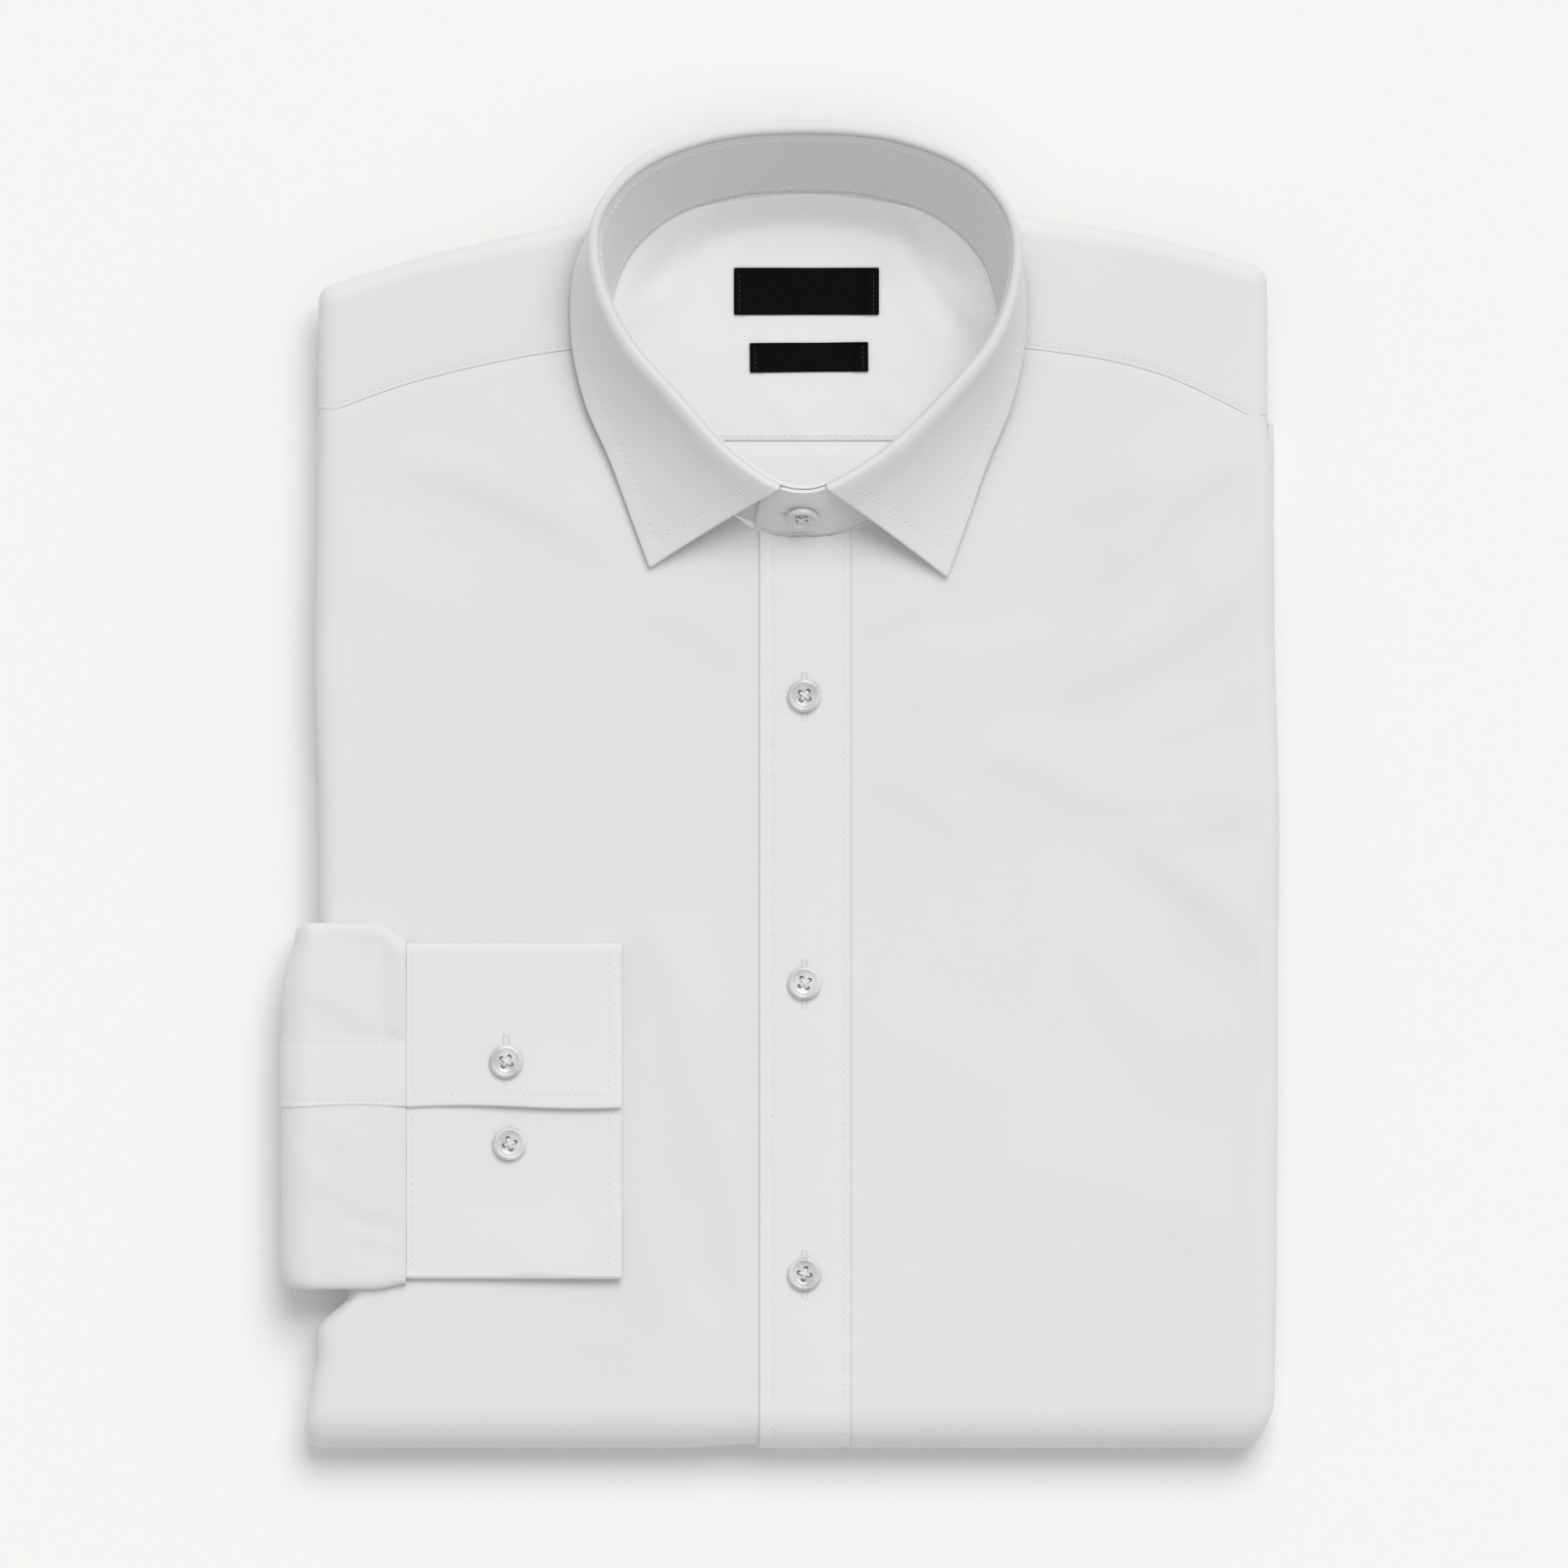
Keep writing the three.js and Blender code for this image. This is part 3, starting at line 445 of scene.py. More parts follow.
def woven(name, dark, light, depth=0.025):
    material = new_material(name, {
        "Roughness": 0.86, "Sheen Weight": 0.18, "Sheen Roughness": 0.5, "Specular IOR Level": 0.25,
    })
    threads = coordinates(material, "UV")
    warp, weft = (wave(material, threads, way, 2 * YARN) for way in "XY")
    slub_warp, slub_weft = (noise(material, threads, slubs) for slubs in (WARP_SLUBS, WEFT_SLUBS))
    weave = combine(material, "MULTIPLY", warp, weft)
    slubs = combine(material, "ADD", slub_warp, slub_weft)
    relief(material, combine(material, "ADD", weave, slubs), depth)
    clouds = noise(material, coordinates(material, "Object"), (14, 11, 14), 3.0)
    tone = combine(material, "ADD", combine(material, "MULTIPLY", slubs, 0.3), clouds)
    tint(material, tone, dark, light, 0.55, 1.15)
    return material


poplin = woven("white_poplin", (0.742, 0.742, 0.745), (0.766, 0.766, 0.766))
lined_poplin = woven("lined_white_poplin", (0.762, 0.762, 0.764), (0.786, 0.786, 0.786))
# A darker copy for the collar leaf: painted shade for its falling slope.
painted_shade_leaf_poplin = woven("white_poplin_painted_shade_leaf", (0.735, 0.735, 0.738), (0.761, 0.761, 0.761))
# A lighter copy for the inner yoke and back: painted light against the shade inside the neck.
painted_light_inner_poplin = woven("white_poplin_painted_light_inside", (0.815, 0.815, 0.817), (0.840, 0.840, 0.840), depth=0.03)
print("materials:", poplin.name, lined_poplin.name, painted_shade_leaf_poplin.name, painted_light_inner_poplin.name)


# %% Finish of a piece
def finish(piece, material, slot, *nodes):
    piece.data.materials.clear()
    piece.data.materials.append(material)
    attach(piece, "root")
    if nodes:
        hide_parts(*nodes)
    print(piece.name, len(piece.data.polygons), "faces")
    return piece


# %% [markdown]
# ## The folded stack
#
# Each half of the folded body is a flat plate with cloth wrapped round it at a constant distance. A place on
# a front is a distance across and a run: down the upper half, round the bottom fold and back along the lower
# half. The tables hold the two side folds, the yoke seam, the shoulders and the hem.

# %% Outline tables
side_folds = table(
    "y right left right_below left_below",
    (-210, -151.2, 152.4, -150.6, 152.0),
    (-198, -149.8, 155.4, -149.2, 155.0),
    (-182, -146.7, 155.8, -147.0, 155.2),
    (-171, -145.9, 156.0, -146.2, 155.2),
    (-161, -136.5, 156.3, -136.8, 155.2),
    (-150, -144.0, 156.6, -145.0, 155.3),
    (-95, -146.0, 157.3, -145.5, 155.5),
    (-20, -146.3, 157.3, -145.5, 155.5),
    (50, -147.2, 156.0, -146.0, 155.5),
    (100, -146.6, 155.3, -146.0, 156.0),
    (122, -146.5, 153.4, -146.0, 155.8),
    (165, -145.4, 153.6, -144.5, 155.2),
)
yoke_seam = table(
    "x y",
    (-147, 116.5), (-114, 127.9), (-67, 137.5), (7, 143), (83, 137.2), (119, 130), (156, 112.8),
)
shoulders = table(
    "x y",
    (-147, 156.5), (-114, 166.9), (-62, 179), (-36, 187.5), (7, 193.6),
    (51, 187.5), (79, 179.6), (115, 173.8), (156, 162.2),
)
hem = table("x y", (-147, 112), (-80, 136), (7, 142), (90, 136), (156, 112))
SIDEWAYS = {"right": -1, "left": 1}
NEAR_SIDE = {side: BUTTON_LINE + 140 * way for side, way in SIDEWAYS.items()}
FOLD_END = -HIP_Y + math.pi * HALF
print("bottom fold is", round(math.pi * 2 * HALF, 1), "mm round its outside")


# %% Places on the stack
def round_hip(run, reach):
    """Turn round the bottom fold and place along Y, for a run at a reach from the middle of the plate."""
    turned = np.clip((run + HIP_Y) / HALF, 0, math.pi)
    below = np.maximum(run + HIP_Y - math.pi * HALF, 0)
    return turned, np.maximum(-run, HIP_Y) - np.sin(turned) * reach + below


def on_stack(x, run, out):
    turned, y = round_hip(run, HALF + out)
    return stacked(x, y, HIP_Z + np.cos(turned) * (HALF + out))


def side_fold(side, run):
    turned, y = round_hip(run, 2 * HALF)
    upper, lower = (follow(side_folds, "y", side + half, y) for half in ("", "_below"))
    return upper + (lower - upper) * turned / math.pi


def yoke_y(x):
    return follow(yoke_seam, "x", "y", x)


# %% [markdown]
# ## Creases
#
# Pressed cloth still keeps soft folds where it was packed: fans from the shoulders, a few long ones across
# each front, and pulls towards the placket. Each one has a start and an end, a bend, a width and a height.
# One side is steeper than the other, and it fades out at both ends. Where the cuff and sleeve lie, and beside
# the placket, the front stays flat.

# %% Creases of the fronts
creases = table(
    "x y to_x to_y bend width height",
    (104, 56, 153, 108, 9, 8, 0.50),
    (86, 29, 152, 72, -4, 9, 0.62),
    (110, 12, 154, 40, -4, 8, 0.26),
    (60, 9, 98, -3, 3, 7, 0.36),
    (90, -4, 152, 6, -4, 8, 0.46),
    (110, -16, 154, -4, -2, 6, 0.40),
    (106, -16, 156, -58, 5, 8, 0.55),
    (96, -44, 140, -96, -6, 9, 0.30),
    (86, 86, 128, 97, 3, 8, 0.32),
    (38, 52, 88, 62, -5, 8, -0.30),
    (23, 45, 48, 58, 2, 4, 0.34),
    (24, 4, 62, -18, 3, 6, 0.22),
    (24, -76, 70, -108, 4, 9, 0.26),
    (60, -120, 150, -150, 6, 12, 0.32),
    (30, -158, 92, -172, -3, 8, 0.24),
    (-124, 103, -50, 72, 5, 8, 0.48),
    (-106, 121, -64, 99, 2, 8, 0.26),
    (-138, 70, -92, 54, -4, 10, 0.16),
    (-46, 58, -8, 38, 3, 7, 0.30),
    (-120, 34, -60, 10, -5, 12, 0.16),
    (-44, -40, -28, -104, 4, 7, 0.42),
    (-30, -92, -10, -168, 5, 6, 0.40),
    (-38, -112, -16, -176, -3, 7, -0.34),
    (-20, 10, -12, -58, 3, 6, 0.24),
    (-110, -172, -50, -178, 3, 7, 0.26),
)
PLACKET_MIDDLE = (PLACKET_LEFT + PLACKET_RIGHT) / 2
CUFF_PATCH = {"right": -42, "low": -168, "high": -36}
PATCH_FADE = 8
CREASE_LIFT = 2.7


def crease_height(x, y):
    under_cuff = (1 - smooth(x, CUFF_PATCH["right"] - PATCH_FADE, CUFF_PATCH["right"])) * plateau(
        y, CUFF_PATCH["low"], CUFF_PATCH["high"], PATCH_FADE, PATCH_FADE
    )
    beside_placket = smooth(np.abs(x - PLACKET_MIDDLE), 15, 27)
    return CREASE_LIFT * crease_sum(creases, x, y) * (1 - under_cuff) * beside_placket


def slack(x, y):
    """Slow unevenness that all the cloth has, from sums of long waves."""
    waves = np.sin(x / 23 + y / 41) + np.sin(x / 37 - y / 19 + 2.1) + np.sin(y / 29 + x / 61 + 4.2)
    return 0.05 * waves


print("creases:", len(creases["x"]))

# %% [markdown]
# ## The fronts
#
# A front is one cut piece from the yoke seam to the shirt tail hem. Its side is turned to the back, so its
# columns start with most of a half turn round the edge of the plate. The rows follow the seam and the hem at
# the ends and close up at the bottom fold. The wearer's right front carries the buttons and runs on beneath
# the placket, where it is pressed down.

# %% Rows and surface of a front
SIDE_TURN = math.radians(125)
STRAIGHT_FROM = -100
LOWER_LENGTH = 228
PUCKER = 0.07
HALF_TURN_SHARES = np.linspace(1, 0, 14)[:-1]


def run_rows(x):
    """Runs down a front for each place across: rows down, columns across."""
    start = seam_inset(CLOTH) - yoke_y(x)
    seam = start + (STRAIGHT_FROM - start) * np.linspace(0, 1, 18)[:-1, None]
    level = joined((STRAIGHT_FROM, -HIP_Y - 16, 104), (-HIP_Y - 16, -HIP_Y, 8), (-HIP_Y, FOLD_END, 26),
                   (FOLD_END, FOLD_END + LOWER_LENGTH, 52))
    tail = FOLD_END + follow(hem, "x", "y", x) - HIP_Y - CLOTH / 2
    last = level[-1] + (tail - level[-1]) * np.linspace(0, 1, 18)[1:, None]
    return np.concatenate([seam, level[:, None] + 0 * x, last])


def lie(x, run):
    """How far the outer face of a front stands off its plate."""
    upper = 1 - smooth(run, 150, 196)
    lower = smooth(run, FOLD_END, FOLD_END + 40)
    rise = (crease_height(x, -run) + slack(x, -run)) * upper
    creases_below = np.abs(crease_height(x * 0.94 + 4, FOLD_END + 70 - run))
    from_seam = yoke_y(x) + run
    pulled_in = 0.3 * trough(from_seam, 1.6) - PUCKER * np.sin(x / 2.1) * np.exp(-from_seam / 5)
    return HALF + rise - lower * (0.8 * creases_below + 0.1) - pulled_in


def side_roll(side, run):
    """Unevenness of the pressed side fold."""
    return 0.25 * np.sin(run / 31 + (0 if side == "right" else 2)) + 0.15 * np.sin(run / 13 + 1)


def front_grid(side, inner_x, lap, sink):
    """From the turned side to inner_x, and on over the columns of the lap. sink: how deep the cloth lies."""
    way = SIDEWAYS[side]
    turns = SIDE_TURN * HALF_TURN_SHARES
    at_side = run_rows(np.array([NEAR_SIDE[side]]))[:, 0]
    at_side[0] = -yoke_y(NEAR_SIDE[side])
    plate = (side_fold(side, at_side) + side_roll(side, at_side) - way * HALF)[:, None]
    face = plate + (inner_x - plate) * np.linspace(0, 1, 60)
    across = np.concatenate([
        np.repeat(plate, len(turns), axis=1), face, np.tile(lap, (len(plate), 1)),
    ], axis=1)
    run = np.stack([run_rows(across[k])[k] for k in range(len(plate))])
    radius = np.where(np.arange(across.shape[1]) < len(turns), HALF, lie(across, run) - sink(across))
    angle = np.concatenate([turns, np.zeros(across.shape[1] - len(turns))])
    return on_stack(across + way * np.sin(angle) * radius, run, np.cos(angle) * radius)


# %% Right and left fronts
FACE_END = -16.0


def lap_sink(x):
    return LAP_DEPTH * smooth(x, LAP_START, LAP_SUNK)


def no_sink(x):
    return 0 * x


lap_columns = np.linspace(FACE_END, LAP_END, 22)[1:]
right_points = front_grid("right", FACE_END, lap_columns, lap_sink)
left_points = front_grid("left", PLACKET_RIGHT + seam_inset(CLOTH), [], no_sink)
right_front = shell("right_front_cloth", right_points, CLOTH, -1, edges=(SEWN, TURNED, TURNED, TURNED))
left_front = shell("left_front_cloth", left_points, CLOTH, 1, edges=(SEWN, TURNED, TURNED, SEWN))
finish(right_front, poplin, "shirting", "right_front")
finish(left_front, poplin, "shirting", "left_front")

# %% [markdown]
# ## The placket
#
# The placket is a lined band on the left front: its left edge is turned and free, its right edge is sewn. Two
# rows of stitches pull it down a little, so it stands up softly between them. It is pressed down round each
# button.

# %% Placket band
PLACKET_WALL = 0.8
STITCH_IN = {"free": -2.9, "sewn": 19.8}


def placket_surface(x, run):
    crown = 0.2 * np.sin(math.pi * np.clip((x - STITCH_IN["free"]) / 22.5, 0, 1)) ** 0.7
    pressed = 0.16 * sum(trough(x - line, 0.9) for line in STITCH_IN.values())
    ripple = PUCKER * sum(np.sin(run / 1.9 + line) * trough(x - line, 4.0) for line in STITCH_IN.values())
    buttons = sum(0.25 * trough(np.hypot(x - BUTTON_LINE, -run - y), 9) for y in FRONT_BUTTONS)
    upper = 1 - smooth(run, FOLD_END - 30, FOLD_END)
    return on_stack(x, run, HALF + (crown + ripple + slack(x, -run)) * upper - pressed - buttons)


placket_x = joined(
    (PLACKET_LEFT + PLACKET_WALL / 2, -4.4, 4), (-3.9, -1.9, 5), (-1.2, 18, 14), (18.8, 20.8, 5)
)
placket_x = np.append(placket_x, PLACKET_RIGHT - seam_inset(PLACKET_WALL))
placket_points = placket_surface(placket_x[None, :], run_rows(placket_x))
placket = shell("placket_cloth", placket_points, PLACKET_WALL, -1, edges=(TURNED, TURNED, TURNED, SEWN))
finish(placket, lined_poplin, "shirting", "placket")

# %% [markdown]
# ## The yoke
#
# The yoke lies across the shoulders: from its slanted front seams it turns over the shoulder line to the
# back. Its ends are turned in with the side folds.

# %% Yoke
YOKE_COLUMNS = 130


def seam_end(side):
    """Where the yoke seam meets the side fold."""
    return side_fold(side, -yoke_y(NEAR_SIDE[side])) - SIDEWAYS[side] * HALF


def yoke_surface(share, sideways, line, over):
    """share: across the yoke. line: from its seam to the shoulder. sideways and over: turns at its edges."""
    x = seam_end("right") + (seam_end("left") - seam_end("right")) * share
    seam = yoke_y(x) + seam_inset(CLOTH)
    y = seam + (follow(shoulders, "x", "y", x) - HALF - seam) * line
    away = stacked(np.sin(sideways), np.sin(over), np.cos(sideways) + np.cos(over) - 1)
    fullness = 0.25 * np.sin(line * math.pi) * np.sin(x / 17 + 1.2) + slack(x, y) * 2
    felled = 0.14 * trough(y - seam - 1.6, 0.8) + 0.16 * trough(y - seam, 0.9)
    reach = HALF + (fullness - felled) * np.cos(over) * np.cos(sideways)
    return stacked(x, y, UPPER_MIDDLE) + unit(away) * reach[..., None]


yoke_turns = SIDE_TURN * HALF_TURN_SHARES
yoke_share = np.concatenate([0 * yoke_turns, np.linspace(0, 1, YOKE_COLUMNS), 1 + 0 * yoke_turns])
yoke_side = np.concatenate([-yoke_turns, np.zeros(YOKE_COLUMNS), yoke_turns[::-1]])
line_steps = joined((0, 0.12, 9), (0.16, 1, 20))
over_steps = np.radians(np.linspace(0, 120, 14))[1:]
yoke_line = np.concatenate([line_steps, 1 + 0 * over_steps])[:, None]
yoke_over = np.concatenate([0 * line_steps, over_steps])[:, None]
yoke_points = yoke_surface(yoke_share, yoke_side, yoke_line, yoke_over)
yoke = shell("yoke_cloth", yoke_points, CLOTH, 1, edges=(SEWN, TURNED, TURNED, TURNED))
finish(yoke, poplin, "shirting", "yoke")

# %% [markdown]
# ## The collar's lines
#
# A shirt collar is two pieces: a stand sewn to the neck, and a leaf that rolls over the top of the stand and
# falls to its edge. Three lines give its form from the centre front to the centre back: the top of the fold,
# the neck seam and the edge of the leaf. The right side of each is turned over to make the left.

# %% Collar tables
collar = table(
    "fold_x fold_y fold_z ease seam_x seam_y seam_z edge_x edge_y edge_z",
    (0, 91.6, 49.5, 0, 0, 79.8, 23.4, 0, 0, 0),
    (8, 93, 50, -1, 10, 80.6, 23.4, 47.5, 66.2, 26.4),
    (24.6, 104.2, 51.2, 1, 28, 88, 23.4, 53.8, 84, 26.8),
    (39, 120, 52.6, 3.5, 46, 101.5, 23.3, 60, 101.5, 27.4),
    (57.6, 142, 54.4, 3, 59.5, 121, 23.2, 68, 121, 28.6),
    (66, 163, 56, 1, 62.5, 143, 23.1, 72.3, 144, 28.6),
    (65.4, 179.5, 57, 0, 57, 165, 23, 69.8, 167, 27.6),
    (53.5, 194.3, 57.6, 0, 42.5, 179.5, 22.9, 54, 191, 23.5),
    (30, 204.4, 58, 0, 22, 186.3, 22.8, 31, 204.2, 20),
    (0, 207.2, 58, 0, 0, 188, 22.8, 0, 207.8, 18.5),
)
ROWS_ROUND = 2 * (len(collar["fold_x"]) - 1)


def ring_points(line, ease):
    x, y, z = (collar[line + axis] for axis in ("_x", "_y", "_z"))
    right, left = stacked(BUTTON_LINE - x, y, z), stacked(BUTTON_LINE + x + ease, y, z)
    return np.concatenate([right, left[-2:0:-1]])


fold_ring = ring_points("fold", collar["ease"])
seam_ring = ring_points("seam", 0)


def around(ring, row):
    return spline(ring, np.asarray(row) / ROWS_ROUND, closed=True)


def outward(ring, row):
    ahead = around(ring, row + 0.02) - around(ring, row - 0.02)
    return unit(stacked(-ahead[..., 1], ahead[..., 0], 0))


# %% [markdown]
# ## The neck opening
#
# The fronts, placket and yoke are cut out along the foot of the stand, which steps outwards where its ends
# lap. A boolean with a prism of that outline does it in one step for each piece, as shears would.

# %% Cut the neck
STAND_WALL = 1.1
STAND_LAP, LAP_EASE = 1.36, 1.6  # rows of the ring from the centre front, and rows over which the lap ends
STAND_APART = 0.75
NECK_ROOM = STAND_WALL / 2 + 0.2
CUT_BOTTOM, CUT_TOP = 14.5, 40


def neck_line(grow, count=120):
    row = np.arange(count) / count * ROWS_ROUND
    under = smooth(row, STAND_LAP, STAND_LAP + LAP_EASE) - 1
    over = smooth(row, ROWS_ROUND - STAND_LAP - LAP_EASE, ROWS_ROUND - STAND_LAP)
    end_of_lap = smooth(row, STAND_LAP + 0.02, STAND_LAP + 0.3)
    lapped = np.where(row < ROWS_ROUND / 2, 1 + (under - 1) * end_of_lap, over)
    return around(seam_ring, row) + outward(seam_ring, row) * (grow + lapped * STAND_APART)[:, None]


def prism(name, outline, bottom, top):
    count = len(outline)
    points = np.concatenate([stacked(outline[:, 0], outline[:, 1], z) for z in (bottom, top)])
    foot = np.arange(count)
    faces = quads_between(foot, foot + count).tolist() + [foot.tolist(), (foot + count).tolist()]
    solid = add_piece(name, in_frame(points), faces)
    edit(solid, (bpy.ops.mesh.normals_make_consistent, {}))
    return solid


def cut_away(piece, cutter):
    select_only(piece)
    modifier = piece.modifiers.new("cut", "BOOLEAN")
    modifier.operation = "DIFFERENCE"
    modifier.solver = "EXACT"
    modifier.object = cutter
    bpy.ops.object.modifier_apply(modifier=modifier.name)


neck_cutter = prism("neck_cutter", neck_line(NECK_ROOM, 300), CUT_BOTTOM, CUT_TOP)
for piece in [right_front, left_front, placket, yoke]:
    cut_away(piece, neck_cutter)
    piece.data.set_sharp_from_angle(angle=SHARP)
    print(piece.name, "cut, now", len(piece.data.polygons), "faces")
bpy.data.objects.remove(neck_cutter)

# %% [markdown]
# ## The collar stand
#
# The stand is a lined band that leans with the neck, and its ends lap at the front: the wearer's right end
# tucks inside, the left end laps over it and is buttoned. Its upper front corners are rounded. It is pressed
# in a little along the rows of stitches at its foot and top.

# %% Stand
STAND_START, STAND_END = -1.05, ROWS_ROUND + STAND_LAP
STAND_ROWS = STAND_END - STAND_START
STAND_TOP_INSET, STAND_DROP = 1.7, 2.75  # the top of the stand lies inside and below the fold of the leaf
STAND_STITCH = {"foot": 0.07, "top": 0.9}
CORNER_ROWS = 0.55


def stand_surface(u, v):
    """u: a share from the right end to the left end. v: a share from the foot to the top."""
    row = STAND_START + STAND_ROWS * u
    lap_in = 1 - smooth(row, STAND_LAP, STAND_LAP + LAP_EASE)
    lap_out = smooth(row, STAND_END - 2 * STAND_LAP - LAP_EASE, STAND_END - 2 * STAND_LAP)
    foot = around(seam_ring, row)
    top = around(fold_ring, row) - outward(fold_ring, row) * STAND_TOP_INSET - [0, 0, STAND_DROP]
    lapped = ((lap_out - lap_in) * STAND_APART)[..., None]
    return foot + (top - foot) * v[..., None] + outward(seam_ring, row) * lapped


def normals_of(surface, a, b, step=0.002):
    across = surface(a + step, b) - surface(a - step, b)
    along = surface(a, b + step) - surface(a, b - step)
    return unit(np.cross(across, along))


def rounded_end(u):
    """How much of its height the stand has near its rounded left end."""
    inside = np.clip(1 - (1 - u) * STAND_ROWS / CORNER_ROWS, 0, 1)
    return 1 - 0.3 * (1 - np.sqrt(1 - inside**2))


stand_u = joined((0.002, 0.08, 16), (0.08, 0.92, 150), (0.92, 0.998, 22))
stand_v = joined((0.012, 0.9, 17), (0.92, 0.995, 4))
stand_uu, stand_vv = np.meshgrid(stand_u, stand_v)
stand_rise = stand_vv * rounded_end(stand_uu)
pressed = sum(0.14 * trough(stand_vv - line, 0.035) for line in STAND_STITCH.values())
soft = 0.12 * np.sin(stand_uu * 61) * np.sin(stand_vv * math.pi)
stand_out = -normals_of(stand_surface, stand_uu, stand_rise)
stand_face = stand_surface(stand_uu, stand_rise) + stand_out * (STAND_WALL / 2 - pressed - soft)[..., None]
stand = shell("collar_stand_cloth", stand_face, STAND_WALL, -1, edges=(TURNED, SEWN, TURNED, TURNED))
finish(stand, lined_poplin, "shirting", "collar_stand")

# %% [markdown]
# ## The collar leaf
#
# The leaf starts inside the top of the stand, rolls over it and falls, a little bowed, to its edge. Its two
# layers are turned at the edge and stitched 5.6 mm in, which leaves a soft welt. The weight of its points
# pulls them flat, and the fall between is slightly full.

# %% Sections of the leaf
LEAF_WALL = 1.2
LEAF_STITCH = 5.6
LEAF_LINE, LEAF_TWIST = 5.3, 0.033  # the leaf lies a little to the right, and its left point lies lower
LEAF_ENDS = (0.003, 0.997)
UP = np.array([0, 0, 1])


def leaf_edge(side):
    x = LEAF_LINE + side * collar["edge_x"]
    front = smooth(-collar["edge_y"], -130, -60)
    y = collar["edge_y"] - LEAF_TWIST * (x - LEAF_LINE) * front
    return stacked(x, y, collar["edge_z"])[1:]


edge_points = np.concatenate([leaf_edge(-1), leaf_edge(1)[-2::-1]])


def leaf_section(u):
    """Points down the leaf: two inside the stand, the fold, its shoulder and the fall to the edge."""
    row = 1 + (ROWS_ROUND - 2) * u
    fold, edge = around(fold_ring, row), spline(edge_points, u)
    away = outward(fold_ring, row)
    falls = unit((edge - fold) * [1, 1, 0] + away * 8)
    shoulder = fold + falls * 2.3 - UP * 1.3
    fall = edge - shoulder
    bow = unit(np.cross(unit(np.cross(fall, falls)), fall))
    front = smooth(-edge[..., 1], -190, -120)[..., None]
    tuck = [fold - away * 2 - UP * 2.6, fold - away * 1.4 - UP * 0.7]
    bowed = [
        shoulder + fall * share - bow * (0.4 + 2.4 * front) * 4 * share * (1 - share)
        for share in (0.2, 0.4, 0.6, 0.8)
    ]
    return np.stack([*tuck, fold, shoulder, *bowed, edge])


def leaf_surface(u, v):
    """u is one list of places round the collar and v one list down the leaf: rows down, columns round."""
    return spline(leaf_section(u), v)


# %% Leaf
def distance_to(line, points):
    gaps = np.linalg.norm(points.reshape(-1, 1, 3) - line, axis=2)
    return gaps.min(axis=1).reshape(points.shape[:-1])


leaf_u = joined((LEAF_ENDS[0], 0.06, 34), (0.06, 0.94, 180), (0.94, LEAF_ENDS[1], 34))
leaf_v = joined((0.004, 0.36, 16), (0.36, 0.82, 22), (0.82, 0.987, 20))
leaf_face = leaf_surface(leaf_u, leaf_v)
front_lines = np.concatenate([
    leaf_surface(np.array([end]), np.linspace(0.3, 1, 60))[:, 0] for end in LEAF_ENDS
])
outer_line = leaf_surface(np.linspace(*LEAF_ENDS, 400), np.array([1.0]))[0]
to_front, to_outer = distance_to(front_lines, leaf_face), distance_to(outer_line, leaf_face)
down_leaf = smooth(leaf_v, 0.35, 0.55)[:, None]
stitched_in = 0.10 * trough(np.minimum(to_front, to_outer) - LEAF_STITCH, 1.1)
full = 0.16 * np.sin(leaf_u * 37) * np.sin(leaf_v * math.pi)[:, None]
leaf_out = grid_normals(leaf_face)
leaf_side = np.sign(leaf_out[30, 20, 2])
leaf_out = leaf_out * leaf_side
leaf_outside = leaf_face + leaf_out * ((full - stitched_in) * down_leaf)[..., None]
leaf = shell("collar_leaf_cloth", leaf_outside, LEAF_WALL, leaf_side, edges=(SEWN, TURNED, TURNED, TURNED))
# The leaf wears the darker copy of the poplin: painted shade.
finish(leaf, painted_shade_leaf_poplin, "shirting", "collar_leaf")

# %% [markdown]
# ## Inside the neck
#
# The neck shows the inner yoke and, below its seam, a strip of the back. They lie in the opening like a
# shallow dish that climbs to the foot of the stand at the back. The turned edge of the inner yoke lies on the
# back and is stitched to it. A row of the grid runs from one side of the opening to the other.

# %% The dish
RECESS_FLOOR = 14.5
INNER_SEAM_Y = 108.7
INNER_WALL = 0.45
DISH_TOP = RECESS_FLOOR + GAP + CLOTH
DISH_RISE = 6.4
DISH_MIDDLE = np.array([BUTTON_LINE, 138])
DISH_GROW = STAND_WALL / 2 + 0.1
inside_creases = table(
    "x y to_x to_y bend width height",
    (40, 184, 70, 140, -5, 3.5, 1.1),
    (31, 178, 54, 138, -4, 4, 0.7),
    (-26, 180, -46, 146, 3, 3.5, 0.9),
    (-18, 172, -34, 130, 2, 4, 0.5),
    (50, 128, 60, 160, 2, 4, 0.4),
    (-8, 126, 6, 110, 1, 3, 0.35),
    (26, 124, 42, 111, 1, 3, 0.4),
    (4, 112, 16, 98, 1, 3, 0.3),
)
dish_outline = neck_line(DISH_GROW, 720)


def neck_share(x, y, grow):
    """0 in the middle of the neck opening and 1 at its outline."""
    across, up = (neck_line(grow, 360)[:, :2] - DISH_MIDDLE).T
    angles = np.arctan2(up, across)
    order = np.argsort(angles)
    here = np.arctan2(y - DISH_MIDDLE[1], x - DISH_MIDDLE[0])
    limit = np.interp(here, angles[order], np.hypot(across, up)[order], period=2 * math.pi)
    return np.hypot(x - DISH_MIDDLE[0], y - DISH_MIDDLE[1]) / limit


def dish_width(y):
    """Where the opening starts and ends across, at each height of the shirt."""
    at_right = dish_outline[:, 0] < BUTTON_LINE
    halves = [half[np.argsort(half[:, 1])] for half in (dish_outline[at_right], dish_outline[~at_right])]
    return [np.interp(y, half[:, 1], half[:, 0]) for half in halves]


